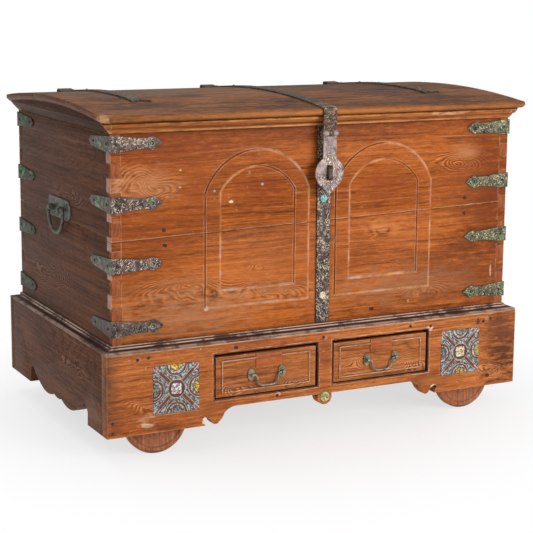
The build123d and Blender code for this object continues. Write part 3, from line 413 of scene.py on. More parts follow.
joint = sums(arches, "SUBTRACT", sums(arches, "MULTIPLY_ADD", spot[0], -joint_slope, spot[2]), joint_height)
joint = sums(arches, "MULTIPLY_ADD", uneven, 0.004, joint)
above = stripe(arches, joint, 0.0012, 0.0003, 0.0017, 0.75)
under = stripe(arches, joint, -0.0014, 0.0004, 0.0018, 0.6)
pale = sums(arches, "MULTIPLY", sums(arches, "MAXIMUM", pale, above), front_only)
worn = spread(arches, cloud(arches, given["Vector"], 30, 5, 0.7), 0.38, 0.6, 0.15, 0.9)
# Pale holds the painted highlights and the worn line above the joint, Dark the painted shade and the dark joint line
arches.links.new(sums(arches, "MULTIPLY", pale, worn), gives["Pale"])
arches.links.new(sums(arches, "MULTIPLY", sums(arches, "MAXIMUM", dark, under), front_only), gives["Dark"])
print("arch edge group has", len(arches.nodes), "nodes")

# %% [markdown]
# ## Lines of the finger joints
# The boards are joined at the corners with fingers. Old glue and dust stand in those joints as pale broken lines
# in rows of one finger's height, and as one upright line where the fingers end.

# %% Lines on the front
finger_high, finger_foot, finger_end = 0.03377, 0.2590, 0.525


def finger_lines(tree, place, colour):
    """Pale dust in the joints of the fingers at both ends of the front."""
    spot = axes(tree, place)
    out = sums(tree, "ABSOLUTE", spot[0])
    rows = sums(tree, "DIVIDE", sums(tree, "SUBTRACT", spot[2], finger_foot), finger_high)
    row = sums(tree, "MULTIPLY", sums(tree, "PINGPONG", rows, 0.5), finger_high)
    level = sums(tree, "MULTIPLY", spread(tree, row, 0.0003, 0.0014, 1, 0), spread(tree, out, 0.524, 0.5255))
    line = sums(tree, "MAXIMUM", stripe(tree, out, finger_end, 0.0003, 0.0015), level)
    broken = spread(tree, cloud(tree, place, 45, 5, 0.7), 0.42, 0.62, 0, 0.65)
    front_only = spread(tree, spot[1], -0.3225, -0.3235)
    shown = sums(tree, "MULTIPLY", sums(tree, "MULTIPLY", line, broken), front_only)
    return blend(tree, shown, colour, tone(204, 170, 150))


def arch_edges(tree, place, colour):
    """Draws painted highlights and shade on the edges of the arches, the joint of the planks and the dust in the
    fingers.
    """
    lines = use_group(tree, arches, {"Vector": place})
    colour = finger_lines(tree, place, colour)
    # painted shade on the arch edges, with the dark joint line
    colour = blend(tree, sums(tree, "MULTIPLY", lines["Dark"], 0.7), colour, tone(62, 28, 18))
    mixed = spread(tree, cloud(tree, place, 26, 3, 0.6), 0.42, 0.58)
    # painted highlights on the arch edges, with the worn line above the joint
    return blend(tree, lines["Pale"], colour, blend(tree, mixed, tone(206, 172, 156), tone(222, 162, 106)))


print("fingers are", finger_high, "m high")

# %% [markdown]
# ## Wood finishes
# One function makes every wood from the timber, stain and age groups. What changes is the direction of the grain,
# the tones, how strong the figure is and how glossy the old wax still is. An offset per board gives each its own
# piece of the same endless timber, so that neighbours don't match. A knot is a hump in the growth rings.

# %% Wood material
def knot_lift(tree, place, knots):
    """Humps in the growth rings, where they run round knots, bent a little so that no two are alike."""
    lift = 0.0
    place = wander(tree, place, 11.0, 2.0, 0.08)
    for centre, size, height in knots:
        start, reach = around(centre, size)
        near = put(tree, "Mapping", {"Vector": place, "Location": start, "Scale": reach}).outputs[0]
        hump = sums(tree, "POWER", spread(tree, size_of(tree, near), 0, 1, 1, 0), 2)
        lift = sums(tree, "MULTIPLY_ADD", hump, height, lift)
    return lift


def wood(name, pale, middle, dark, turn=(0, 0, 0), offset=(0, 0, 0), figure=0.6, streaks=0.6, gloss=0.5,
         worn=(214, 176, 132), wear=0.8, crevice=0.8, nicks=0.5, corner=0.004, shine=0.3, stretch=(1, 1, 1),
         knots=(), marks=(), finish=None):
    """A wood material with its grain along X, turned by the given angles."""
    material, tree, place = start_material(name)
    turning = {"Vector": place, "Rotation": turn, "Location": offset, "Scale": stretch}
    turned = put(tree, "Mapping", turning).outputs[0]
    grain = use_group(tree, timber, {
        "Vector": turned, "Pale": tone(*pale), "Middle": tone(*middle), "Dark": tone(*dark),
        "Figure": figure, "Streaks": streaks, "Lift": knot_lift(tree, place, knots) if knots else 0.0,
        "Sapwood": tone(*[min(255, part + 38) for part in pale]),
    })
    colour = grain["Color"]
    for centre, size, tint, ragged, strength in marks:
        start, reach = around(centre, size)
        soft = 0.1 if max(size[0], size[2]) > 0.02 else 0.75
        colour = use_group(tree, stain, {
            "Vector": place, "Color": colour, "Tint": tone(*tint), "Ragged": ragged, "Strength": strength,
            "Start": start, "Reach": reach, "Soft": soft,
        })["Color"]
    # the crevice amount sets how much painted shade and dust darkens the hollows
    old = use_group(tree, age, {
        "Vector": place, "Color": colour, "Worn": tone(*worn), "Corner Width": corner, "Wear": wear,
        "Crevice": crevice, "Nicks": nicks,
    })
    colour = finish(tree, place, old["Color"]) if finish else old["Color"]
    rough = sums(tree, "MULTIPLY_ADD", grain["Lines"], 0.12, gloss)
    rough = sums(tree, "MULTIPLY_ADD", old["Rubbed"], 0.2, rough)
    height = sums(tree, "MULTIPLY_ADD", old["Rubbed"], -0.6, grain["Height"])
    relief = put(tree, "Bump", {"Height": height, "Strength": 0.3, "Distance": 0.0008}).outputs[0]
    end_material(tree, {"Base Color": colour, "Roughness": rough, "Normal": relief, "Specular IOR Level": shine})
    return material


print("wood takes", wood.__code__.co_argcount, "values")

# %% [markdown]
# ## Lines and end grain on the woods
# Some boards get one more layer: redder end grain on the fingers, worn lines along the steps of the moulding, dust
# along the beads of the drawers and dark wax round their openings. Each is a function of the place on the board,
# which the wood material calls last.

# %% Layers for single boards
drawer_middle, drawer_height, opening_height = 0.1615, 0.175, 0.178


def end_grain(tree, place, colour):
    """Redder end grain where the side boards' fingers show on the front."""
    facing = axes(tree, put(tree, "TexCoord", {}).outputs["Normal"])[1]
    spot = axes(tree, place)
    mask = sums(tree, "MULTIPLY", spread(tree, facing, -0.6, -0.9), spread(tree, spot[1], -0.31, -0.32))
    end = cloud(tree, place, 1, 4, 0.7, (160, 9, 30))
    fresh = blend(tree, spread(tree, end, 0.35, 0.65), tone(170, 92, 48), tone(120, 62, 34))
    return finger_lines(tree, place, blend(tree, mask, colour, fresh))


def moulding_lines(tree, place, colour):
    """Pale worn lines along the steps of the foot moulding."""
    height = axes(tree, place)[2]
    broken = cloud(tree, place, 13, 6, 0.75)
    for level, strength in ((0.2742, 0.85), (0.2682, 0.9), (0.2635, 0.6), (0.2595, 0.9)):
        line = stripe(tree, height, level, 0.0005, 0.0016)
        line = sums(tree, "MULTIPLY", line, spread(tree, broken, 0.43, 0.53, 0.1, strength))
        colour = blend(tree, line, colour, tone(226, 196, 176))
    return colour


def outside_box(tree, place, height, wide, high):
    """How far a place on a drawer lies outside a rectangle round the drawer's middle."""
    spot = axes(tree, place)
    aside = sums(tree, "ABSOLUTE", sums(tree, "SUBTRACT", sums(tree, "ABSOLUTE", spot[0]), drawer_middle))
    upward = sums(tree, "ABSOLUTE", sums(tree, "SUBTRACT", spot[2], height))
    return sums(tree, "MAXIMUM", sums(tree, "SUBTRACT", aside, wide), sums(tree, "SUBTRACT", upward, high))


def bead_lines(tree, place, colour):
    """Grey dust along the bead of a drawer front, and a darker worn edge on both sides of it."""
    broken = cloud(tree, place, 40, 5, 0.7)
    for wide, high, tint, strength in ((0.1210, 0.0410, (84, 46, 34), 0.65), (0.1185, 0.0385, (214, 188, 164), 0.75),
                                       (0.1160, 0.0360, (96, 54, 36), 0.45)):
        line = stripe(tree, outside_box(tree, place, drawer_height, wide, high), 0, 0.0005, 0.0016)
        line = sums(tree, "MULTIPLY", line, spread(tree, broken, 0.42, 0.6, 0.1, strength))
        colour = blend(tree, line, colour, tone(*tint))
    return colour


def opening_rims(tree, place, colour):
    """Dark wax and a worn pale line round the drawer openings."""
    reach = outside_box(tree, place, opening_height, 0.1405, 0.055)
    reach = sums(tree, "MULTIPLY_ADD", cloud(tree, place, 60, 4, 0.6), 0.003, reach)
    broken = cloud(tree, place, 30, 5, 0.7)
    patchy = spread(tree, broken, 0.36, 0.5, 0.35, 0.85)
    colour = blend(tree, sums(tree, "MULTIPLY", spread(tree, reach, 0.0035, 0.0055, 1, 0), patchy), colour,
                   tone(66, 40, 38))
    line = stripe(tree, reach, 0.0062, 0.0004, 0.0014)
    line = sums(tree, "MULTIPLY", line, spread(tree, broken, 0.48, 0.6, 0.1, 0.8))
    return blend(tree, line, colour, tone(214, 176, 144))


print("layers:", [layer.__name__ for layer in (end_grain, moulding_lines, bead_lines, opening_rims)])

# %% [markdown]
# ## Knots, stains and repairs of the front
# Each knot is a centre, its reach and how far it lifts the rings. Each mark is a centre, its reach, a tint, how
# ragged it is and how strong. Large soft marks come first: wax that darkened the top and the right margin, paler
# worn parts at the foot. Then come the swirls, and at last plugs, nail holes and specks of lime.

# %% Front
front_depth, base_depth = -0.324, -0.352


def on_face(depth, rows):
    """Marks on a face that looks along -Y, from rows that give only their place across and up."""
    return tuple(((across_face, depth, up), *rest) for across_face, up, *rest in rows)


front_knots = (
    ((-0.464, -0.33, 0.647), (0.13, 0.4, 0.060), 0.115), ((-0.366, -0.33, 0.391), (0.19, 0.4, 0.054), 0.140),
    ((-0.132, -0.33, 0.365), (0.17, 0.4, 0.040), 0.125), ((0.41, -0.33, 0.664), (0.13, 0.4, 0.042), 0.110),
    ((0.17, -0.33, 0.504), (0.12, 0.4, 0.040), 0.040), ((-0.171, -0.33, 0.439), (0.06, 0.4, 0.027), 0.055),
    ((0.309, -0.33, 0.336), (0.18, 0.4, 0.040), 0.085),
)
front_marks = on_face(front_depth, (
    (0.498, 0.562, (0.15, 0.1, 0.4), (102, 44, 14), 0.9, 0.8),
    (0, 0.775, (0.8, 0.1, 0.08), (102, 42, 14), 0.7, 0.8),
    (0.36, 0.36, (0.22, 0.1, 0.10), (116, 64, 38), 1.3, 0.5),
    (-0.44, 0.53, (0.12, 0.1, 0.07), (146, 70, 34), 1.3, 0.45),
    (-0.40, 0.72, (0.2, 0.1, 0.06), (138, 62, 30), 1.0, 0.45),
    (0.42, 0.60, (0.12, 0.1, 0.10), (150, 78, 40), 1.0, 0.35),
    (-0.176, 0.625, (0.09, 0.1, 0.055), (142, 62, 32), 1.1, 0.5),
    (0.176, 0.615, (0.09, 0.1, 0.065), (142, 62, 32), 1.1, 0.5),
    (0.402, 0.429, (0.10, 0.1, 0.05), (98, 46, 26), 1.2, 0.5),
    (-0.331, 0.615, (0.06, 0.1, 0.12), (146, 70, 32), 1.0, 0.5),
    (-0.467, 0.643, (0.11, 0.1, 0.06), (206, 140, 96), 1.0, 0.55),
    (-0.406, 0.393, (0.17, 0.1, 0.05), (188, 122, 78), 1.1, 0.4),
    (-0.145, 0.37, (0.16, 0.1, 0.03), (190, 124, 80), 1.2, 0.4),
    (0.421, 0.682, (0.055, 0.1, 0.03), (206, 146, 98), 1.3, 0.45),
    (0.167, 0.507, (0.05, 0.1, 0.02), (206, 132, 76), 0.9, 0.5),
    (-0.097, 0.44, (0.22, 0.1, 0.09), (184, 104, 52), 0.8, 0.35),
    (0.182, 0.29, (0.05, 0.1, 0.018), (104, 52, 34), 0.9, 0.45),
    (-0.534, 0.631, (0.014, 0.1, 0.09), (206, 150, 118), 1.3, 0.6),
    (-0.36, 0.33, (0.24, 0.1, 0.07), (186, 140, 104), 1.3, 0.42),
    (0.20, 0.35, (0.30, 0.1, 0.06), (180, 128, 92), 1.3, 0.38),
    (-0.551, 0.5, (0.0036, 0.1, 0.5), (206, 176, 166), 0.7, 0.8),
    (-0.377, 0.675, (0.004, 0.01, 0.0024), (232, 196, 166), 0.8, 0.7),
    (-0.378, 0.635, (0.004, 0.01, 0.0024), (228, 190, 162), 0.8, 0.65),
    (-0.247, 0.594, (0.006, 0.01, 0.0034), (240, 212, 180), 0.8, 0.9),
    (-0.164, 0.631, (0.004, 0.01, 0.004), (176, 158, 150), 0.5, 0.9),
    (-0.198, 0.661, (0.004, 0.01, 0.004), (150, 130, 124), 0.5, 0.8),
    (-0.291, 0.622, (0.004, 0.01, 0.004), (150, 176, 160), 0.5, 0.8),
    (-0.311, 0.34, (0.005, 0.01, 0.010), (218, 194, 170), 1.8, 0.7),
    (0.509, 0.365, (0.003, 0.01, 0.016), (214, 172, 138), 1.2, 0.6),
    (0.389, 0.724, (0.09, 0.01, 0.0014), (196, 140, 106), 0.5, 0.7),
    (-0.418, 0.537, (0.0042, 0.01, 0.0042), (24, 14, 12), 0.1, 1.0),
    (-0.415, 0.501, (0.0042, 0.01, 0.0042), (40, 24, 20), 0.1, 1.0),
    (0.422, 0.562, (0.0042, 0.01, 0.0042), (24, 14, 12), 0.1, 1.0),
    (0.422, 0.521, (0.0036, 0.01, 0.0036), (48, 28, 24), 0.1, 1.0),
    (0.148, 0.296, (0.005, 0.01, 0.005), (44, 26, 22), 0.3, 0.95),
))
print("front has", len(front_knots), "knots and", len(front_marks), "marks")

# %% [markdown]
# ## Knots, stains and repairs of the base and the drawers
# The base was knocked most, so it has plugs of redder wood over its nails, pale chips at its feet and dark damp
# ends. It has a knot near each end, and each drawer front has two.

# %% Base and drawers
plug, pale_wood = (186, 122, 100), (222, 184, 150)
base_marks = on_face(base_depth, (
    (0.545, 0.17, (0.09, 0.1, 0.15), (82, 46, 30), 1.5, 0.95),
    (0, 0.2588, (0.8, 0.02, 0.0022), (222, 186, 154), 1.3, 0.9),
    (0, 0.2535, (0.8, 0.02, 0.0028), (92, 52, 36), 1.0, 0.6),
    (0.30, 0.10, (0.09, 0.1, 0.03), (118, 68, 42), 1.3, 0.65),
    (-0.56, 0.15, (0.03, 0.1, 0.14), (104, 64, 46), 1.4, 0.6),
    (0, 0.19, (0.03, 0.1, 0.08), (136, 66, 40), 1.2, 0.5),
    (-0.30, 0.105, (0.10, 0.1, 0.03), (136, 78, 44), 1.2, 0.5),
    (0.528, 0.212, (0.12, 0.1, 0.05), (124, 70, 44), 0.9, 0.6),
    (-0.575, 0.17, (0.014, 0.1, 0.14), (98, 62, 48), 1.2, 0.7),
    (-0.477, 0.098, (0.030, 0.02, 0.010), pale_wood, 1.9, 0.65),
    (-0.473, 0.083, (0.012, 0.02, 0.005), (228, 194, 154), 2.0, 0.75),
    (-0.438, 0.076, (0.05, 0.02, 0.01), (110, 62, 42), 1.4, 0.6),
    (-0.494, 0.243, (0.006, 0.02, 0.006), plug, 0.4, 0.8),
    (-0.244, 0.245, (0.005, 0.02, 0.005), (72, 60, 62), 0.3, 0.9),
    (0, 0.243, (0.006, 0.02, 0.006), plug, 0.4, 0.9),
    (0.253, 0.258, (0.008, 0.02, 0.007), plug, 0.4, 0.9),
    (0.483, 0.244, (0.007, 0.02, 0.006), plug, 0.5, 0.8),
    (0.456, 0.239, (0.006, 0.02, 0.009), (70, 50, 44), 0.8, 0.8),
    (-0.13, 0.116, (0.007, 0.02, 0.005), (214, 168, 140), 0.8, 0.9),
    (0.492, 0.089, (0.006, 0.02, 0.005), (70, 44, 36), 0.5, 0.9),
    (0.157, 0.239, (0.03, 0.02, 0.004), (216, 152, 90), 1.4, 0.8),
    (-0.092, 0.235, (0.05, 0.02, 0.0022), (206, 150, 104), 1.4, 0.8),
    (0.306, 0.236, (0.009, 0.02, 0.008), (232, 190, 166), 1.3, 0.8),
    (0.321, 0.081, (0.008, 0.02, 0.005), (214, 220, 206), 1.0, 0.95),
    (-0.327, 0.071, (0.008, 0.02, 0.005), (226, 216, 176), 1.0, 0.95),
    (0.311, 0.097, (0.05, 0.02, 0.012), (196, 120, 62), 0.9, 0.5),
))
base_knots = (((0.51, -0.352, 0.111), (0.12, 0.4, 0.03), 0.108), ((-0.49, -0.352, 0.141), (0.1, 0.4, 0.03), 0.050))
drawer_knots = (
    ((-0.245, -0.348, 0.148), (0.07, 0.4, 0.036), 0.085), ((-0.08, -0.348, 0.150), (0.06, 0.4, 0.034), 0.080),
    ((0.255, -0.348, 0.150), (0.06, 0.4, 0.036), 0.085), ((0.085, -0.348, 0.165), (0.05, 0.4, 0.036), 0.070),
)
base_side_marks = (
    ((-0.575, -0.285, 0.102), (0.02, 0.09, 0.04), (150, 106, 80), 1.1, 0.6),
    ((-0.575, 0.229, 0.189), (0.02, 0.07, 0.05), (128, 84, 62), 1.3, 0.5),
)
base_side_knots = (((-0.575, -0.124, 0.174), (0.4, 0.2, 0.045), 0.122),)
print("base has", len(base_marks), "marks and", len(base_knots), "knots")

# %% [markdown]
# ## Knots, stains and repairs of the sides and the lid
# The lid has dark water stains, a worn orange nosing with a painted highlight at its left end, and a greyer back,
# which is a painted sheen. Its front rail is striped: painted shade and dust stand in the grooves, a painted shadow
# lies under the nosing, and the bead between them has a painted highlight along its crest and a rubbed pale spot.
# Side boards show a rubbed strip at the front.

# %% Sides and lid
side_marks = (
    ((-0.55, -0.318, 0.5), (0.01, 0.006, 0.3), (190, 120, 70), 1.6, 0.6),
    ((-0.55, -0.29, 0.5), (0.01, 0.0016, 0.3), (124, 60, 44), 0.4, 0.6),
    ((-0.55, 0.02, 0.45), (0.02, 0.05, 0.03), (112, 52, 48), 1.3, 0.5),
)
lid_marks = (
    ((0, -0.351, 0.799), (0.7, 0.016, 0.011), (186, 112, 54), 0.6, 0.85),
    # painted sheen: a greyer veil over the back of the lid
    ((-0.28, 0.14, 0.83), (0.40, 0.30, 0.06), (126, 112, 96), 1.7, 0.55),
    ((0.30, 0.12, 0.83), (0.42, 0.28, 0.06), (88, 66, 54), 1.7, 0.6),
    ((0.38, -0.26, 0.82), (0.20, 0.08, 0.03), (78, 50, 34), 1.4, 0.65),
    ((-0.586, 0, 0.81), (0.010, 0.5, 0.06), (76, 50, 42), 0.8, 0.85),
    ((0.15, -0.312, 0.811), (0.60, 0.026, 0.02), (78, 46, 30), 1.4, 0.75),
    ((-0.05, -0.25, 0.812), (0.26, 0.05, 0.03), (46, 34, 34), 1.6, 0.8),
    ((-0.42, -0.24, 0.812), (0.15, 0.05, 0.03), (54, 38, 34), 1.6, 0.75),
    ((0.30, -0.10, 0.82), (0.22, 0.12, 0.04), (56, 42, 38), 1.6, 0.75),
    ((-0.145, -0.304, 0.815), (0.05, 0.02, 0.03), (44, 28, 26), 1.4, 0.8),
    ((-0.063, -0.245, 0.815), (0.04, 0.02, 0.03), (44, 28, 26), 1.4, 0.8),
    ((-0.168, -0.236, 0.815), (0.05, 0.02, 0.03), (44, 28, 26), 1.4, 0.8),
    ((-0.256, -0.109, 0.825), (0.07, 0.04, 0.03), (50, 32, 28), 1.4, 0.7),
    ((-0.48, -0.146, 0.825), (0.06, 0.03, 0.03), (46, 30, 26), 1.4, 0.7),
    # painted highlight at the left end of the nosing
    ((-0.573, -0.345, 0.802), (0.02, 0.03, 0.014), (206, 160, 118), 1.5, 0.6),
    ((0.578, -0.20, 0.80), (0.01, 0.12, 0.03), (168, 96, 52), 1.4, 0.7),
)
rail_marks = (
    # the dark lines at 0.7656 and 0.7742 are painted shade and dust in the grooves
    ((0, -0.33, 0.7656), (0.7, 0.02, 0.0016), (40, 20, 14), 0.3, 0.9),
    ((0, -0.33, 0.7692), (0.7, 0.02, 0.0018), (224, 158, 84), 1.1, 0.7),
    ((0, -0.33, 0.7742), (0.7, 0.02, 0.0022), (46, 22, 14), 0.4, 0.9),
    # painted shadow under the nosing
    ((0, -0.33, 0.7926), (0.7, 0.02, 0.0020), (44, 22, 16), 0.4, 0.9),
    # painted highlight along the crest of the bead
    ((0, -0.337, 0.7868), (0.7, 0.004, 0.0026), (236, 172, 92), 1.4, 0.75),
    ((0.36, -0.336, 0.784), (0.05, 0.02, 0.006), (230, 176, 130), 1.8, 0.6),
)
side_knots = (((-0.55, -0.046, 0.588), (0.4, 0.2, 0.04), 0.090), ((-0.55, 0.091, 0.368), (0.4, 0.22, 0.05), 0.108))
print("lid has", len(lid_marks), "marks, its rail", len(rail_marks), "and the sides", len(side_marks))

# %% [markdown]
# ## The woods
# The front and the drawers are the warmest, as hands reached them most. The sides, the back and the ends of the
# lid are darker brown, partly in their own old colour and partly as painted shade of faces turned away from the key
# lamp, and the lid has darkened to brown. The grain follows each board's length, which a turn of the timber sets.

# %% Woods
level, upright, across = (0, 0, 0), (0, radians(90), 0), (0, 0, radians(90))
front_wood = wood("front_wood", (192, 104, 40), (156, 78, 26), (78, 36, 10), figure=0.7, streaks=0.6, shine=0.1,
                  corner=0.0022, knots=front_knots, marks=front_marks, finish=arch_edges)
# darker partly in its own colour and partly as painted shade
side_wood = wood("side_wood", (112, 66, 40), (84, 48, 30), (40, 24, 18), across, (3, 1, 0), figure=0.6, shine=0.15,
                 gloss=0.6, knots=side_knots, marks=side_marks, finish=end_grain)
lid_wood = wood("lid_wood", (156, 96, 52), (102, 60, 34), (34, 22, 20), level, (1, 7, 2), gloss=0.5, shine=0.15,
                figure=0.7, streaks=0.9, nicks=0.9, worn=(206, 146, 84), stretch=(1, 0.25, 1), marks=lid_marks)
rail_wood = wood("rail_wood", (184, 106, 48), (146, 78, 34), (66, 32, 16), level, (5, 2, 3), marks=rail_marks,
                 crevice=0.4, nicks=0.9, shine=0.15)
base_wood = wood("base_wood", (206, 124, 64), (170, 92, 42), (90, 42, 20), level, (9, 3, 1), knots=base_knots,
                 marks=base_marks, nicks=0.8, shine=0.1, finish=opening_rims)
# the base's sides and the backs are darker partly in their own colour and partly as painted shade
base_side_wood = wood("base_side_wood", (122, 74, 46), (92, 55, 36), (44, 27, 20), across, (2, 8, 4), figure=0.8,
                      shine=0.15, gloss=0.6, knots=base_side_knots, marks=base_side_marks)
back_wood = wood("back_wood", (120, 74, 46), (90, 54, 34), (42, 26, 20), level, (2, 9, 5), shine=0.12, gloss=0.65,
                 nicks=0.8)
base_back_wood = wood("base_back_wood", (128, 82, 52), (98, 60, 40), (46, 30, 22), level, (8, 9, 2), shine=0.12,
                      gloss=0.65, nicks=0.8)
# the lid's ends are darker partly in their own colour and partly as painted shade
end_wood = wood("end_wood", (96, 60, 40), (70, 42, 30), (34, 22, 18), across, (3, 5, 0), figure=0.6, shine=0.12,
                gloss=0.6, crevice=0.3, nicks=0.8)
moulding_wood = wood("moulding_wood", (84, 46, 36), (54, 30, 28), (28, 17, 17), level, (4, 4, 4), shine=0.15,
                     worn=(206, 172, 152), wear=0.5, nicks=0.9, finish=moulding_lines)
drawer_wood = wood("drawer_wood", (196, 120, 62), (162, 86, 40), (80, 38, 20), level, (6, 5, 2), figure=0.75,
                   knots=drawer_knots, worn=(206, 180, 150), wear=1.0, shine=0.12, finish=bead_lines)
patch_wood = wood("patch_wood", (196, 106, 52), (166, 82, 36), (96, 44, 20), level, (1, 3, 8), figure=0.3,
                  wear=0.3, shine=0.2)
plain_wood = wood("plain_wood", (178, 134, 92), (152, 108, 70), (98, 66, 42), level, (7, 1, 6), figure=0.35)
wheel_wood = wood("wheel_wood", (190, 122, 78), (160, 92, 56), (90, 48, 30), upright, (8, 6, 3),
                  worn=(214, 176, 140), wear=1.0)
print("woods:", [m.name for m in bpy.data.materials if m.name.endswith("_wood")])

# %% [markdown]
# ## Iron and brass
# The straps are hammered iron with a punched leaf pattern, long since brown with rust. Lime and old polish sit in
# the pattern as pale worm-like flecks, and verdigris has crept over the edges. The flecks are thin bands round the
# middle value of a noise, which gives short curling strokes.

# %% Metal group
metal, given, gives = start_group(
    "old metal",
    [("Vector", "Vector", (0, 0, 0)), ("Base", "Color", tone(98, 80, 76)), ("Deep", "Color", tone(52, 40, 40)),
     ("Fleck", "Color", tone(204, 188, 170)), ("Green", "Color", tone(96, 160, 112)),
     ("Fleck Size", "Float", 150.0), ("Flecks", "Float", 0.8), ("Verdigris", "Float", 0.5),
     ("Corner Width", "Float", 0.0018), ("Rim", "Float", 0.0)],
    [("Color", "Color"), ("Height", "Float"), ("Pale", "Float")],
)
dents = cloud(metal, given["Vector"], 75, 3, 0.6)
worms = put(metal, "TexNoise", {
    "Vector": given["Vector"], "Scale": given["Fleck Size"], "Detail": 1.5, "Roughness": 0.6, "Distortion": 0.8,
}).outputs[0]
worm = stripe(metal, worms, 0.5, 0.016, 0.04)
place_mask = spread(metal, cloud(metal, given["Vector"], 60, 3, 0.6), 0.36, 0.52, 0.15, 1)
inner = put(metal, "AmbientOcclusion", {"Distance": given["Corner Width"]}, samples=6, inside=True, only_local=True)
corner = spread(metal, sums(metal, "SUBTRACT", 1, inner.outputs["AO"]), 0.2, 0.6)
rim = sums(metal, "MULTIPLY", corner, given["Rim"])
pale = sums(metal, "MULTIPLY", sums(metal, "MULTIPLY", worm, place_mask), given["Flecks"])
pale = sums(metal, "MAXIMUM", pale, sums(metal, "MULTIPLY", rim, spread(metal, dents, 0.4, 0.55, 0.3, 1)))
spots = spread(metal, cloud(metal, given["Vector"], 70, 4, 0.6), 0.54, 0.6)
green = sums(metal, "MAXIMUM", sums(metal, "MULTIPLY", corner, 0.9), sums(metal, "MULTIPLY", spots, 0.4))
green = sums(metal, "MULTIPLY", green, spread(metal, cloud(metal, given["Vector"], 19, 3, 0.5), 0.46, 0.58))
green = sums(metal, "MULTIPLY", green, given["Verdigris"])
colour = blend(metal, spread(metal, dents, 0.35, 0.65), given["Deep"], given["Base"])
colour = blend(metal, pale, colour, given["Fleck"])
colour = blend(metal, green, colour, given["Green"])
metal.links.new(colour, gives["Color"])
metal.links.new(sums(metal, "MULTIPLY_ADD", worm, 0.5, dents), gives["Height"])
metal.links.new(pale, gives["Pale"])
print("metal group has", len(metal.nodes), "nodes")

# %% [markdown]
# ## Metal material
# Every iron and the brass come from this one function. The pale flecks are dry lime, so they are rougher than the
# metal round them, and the hammer's dents show as relief.

# %% Metal material
def old_metal(name, base, deep, fleck, green, size=150.0, flecks=0.8, verdigris=0.5, metallic=0.35, gloss=0.5,
              corner=0.0018, bump=0.7, rim=0.0, where=None):
    """A hammered metal with flecks and verdigris, which may differ from place to place."""
    material, tree, place = start_material(name)
    if where:
        flecks, verdigris = where(tree, place, flecks, verdigris)
    old = use_group(tree, metal, {
        "Vector": place, "Base": tone(*base), "Deep": tone(*deep), "Fleck": tone(*fleck), "Green": tone(*green),
        "Fleck Size": size, "Flecks": flecks, "Verdigris": verdigris, "Corner Width": corner, "Rim": rim,
    })
    rough = sums(tree, "MULTIPLY_ADD", old["Pale"], 0.25, gloss)
    relief = put(tree, "Bump", {"Height": old["Height"], "Strength": bump, "Distance": 0.0012}).outputs[0]
    end_material(tree, {"Base Color": old["Color"], "Roughness": rough, "Normal": relief, "Metallic": metallic})
    return material


print("old_metal takes", old_metal.__code__.co_argcount, "values")

# %% [markdown]
# ## Where the irons differ along their length
# A strap isn't the same all over: damp walls turned some parts green, and hands kept others bright. Each of these
# functions takes the flecks and verdigris of an iron and gives back how much of them there is at a place.

# %% Change along the irons
def corner_green(tree, place, flecks, verdigris):
    """Damp walls turned the side legs and the tips green, while the front legs were wiped and kept their flecks."""
    spot = axes(tree, place)
    out = sums(tree, "ABSOLUTE", spot[0])
    flecks = spread(tree, spot[2], 0.33, 0.42, 0.4 * flecks, flecks)
    side = spread(tree, out, 0.5440, 0.5500)
    tip = spread(tree, out, 0.4620, 0.4580)
    green = sums(tree, "MAXIMUM", side, sums(tree, "MULTIPLY", tip, 0.7))
    plain = sums(tree, "MULTIPLY", flecks, sums(tree, "MULTIPLY_ADD", side, -0.6, 1))
    return plain, sums(tree, "MULTIPLY_ADD", green, verdigris, 0.06)


def bend_bright(tree, place, flecks, verdigris):
    """Hands keep the lid's straps bright where they bend over the nosing."""
    spot = axes(tree, place)
    near = sums(tree, "MULTIPLY", spread(tree, spot[1], -0.28, -0.335), spread(tree, spot[2], 0.782, 0.796, 0.35, 1))
    bright = sums(tree, "MULTIPLY_ADD", near, 0.55, flecks)
    return bright, sums(tree, "MULTIPLY_ADD", near, -0.8 * verdigris, verdigris)


def neck_plain(tree, place, flecks, verdigris):
    """The neck of the hasp is smoother than its disc, which is punched all over."""
    neck = spread(tree, axes(tree, place)[2], 0.688, 0.706)
    return sums(tree, "MULTIPLY_ADD", neck, -0.55 * flecks, flecks), verdigris


print("changes:", [change.__name__ for change in (corner_green, bend_bright, neck_plain)])

# %% [markdown]
# ## The irons and the brass
# Each iron has its own past. The hasp was handled daily and is the palest, the front straps are brown with cream
# flecks, those at the sides are green, and the nails are almost black. The drawers' pulls are worn brass.

# %% Irons and brass
cream, leaf_green = (240, 224, 200), (120, 226, 160)
strap_iron = old_metal("strap_iron", (84, 60, 58), (36, 24, 26), cream, (120, 190, 150), size=160.0, flecks=0.85,
                       verdigris=0.25)
green_iron = old_metal("green_iron", (96, 72, 68), (38, 26, 28), cream, leaf_green, size=145.0, flecks=0.85,
                       verdigris=1.0, rim=0.2, where=corner_green)
olive_iron = old_metal("olive_iron", (94, 88, 66), (36, 34, 28), (216, 212, 164), (110, 176, 130), size=118.0,
                       flecks=0.75, verdigris=0.7, rim=0.4)
dull_iron = old_metal("dull_iron", (74, 62, 54), (40, 32, 28), (140, 140, 118), (84, 150, 104), flecks=0.25,
                      verdigris=0.9, rim=0.2)
handle_iron = old_metal("handle_iron", (112, 112, 102), (58, 54, 50), (200, 200, 184), (96, 150, 120), size=180.0,
                        flecks=0.4, verdigris=0.6, rim=0.5)
back_iron = old_metal("back_iron", (74, 62, 54), (40, 32, 28), (150, 170, 120), (78, 164, 100), flecks=0.3,
                      verdigris=2.0, rim=0.3)
lid_iron = old_metal("lid_iron", (84, 64, 56), (36, 27, 25), (214, 180, 140), (104, 140, 124), size=140.0,
                     flecks=0.4, verdigris=0.5, rim=0.5, where=bend_bright)
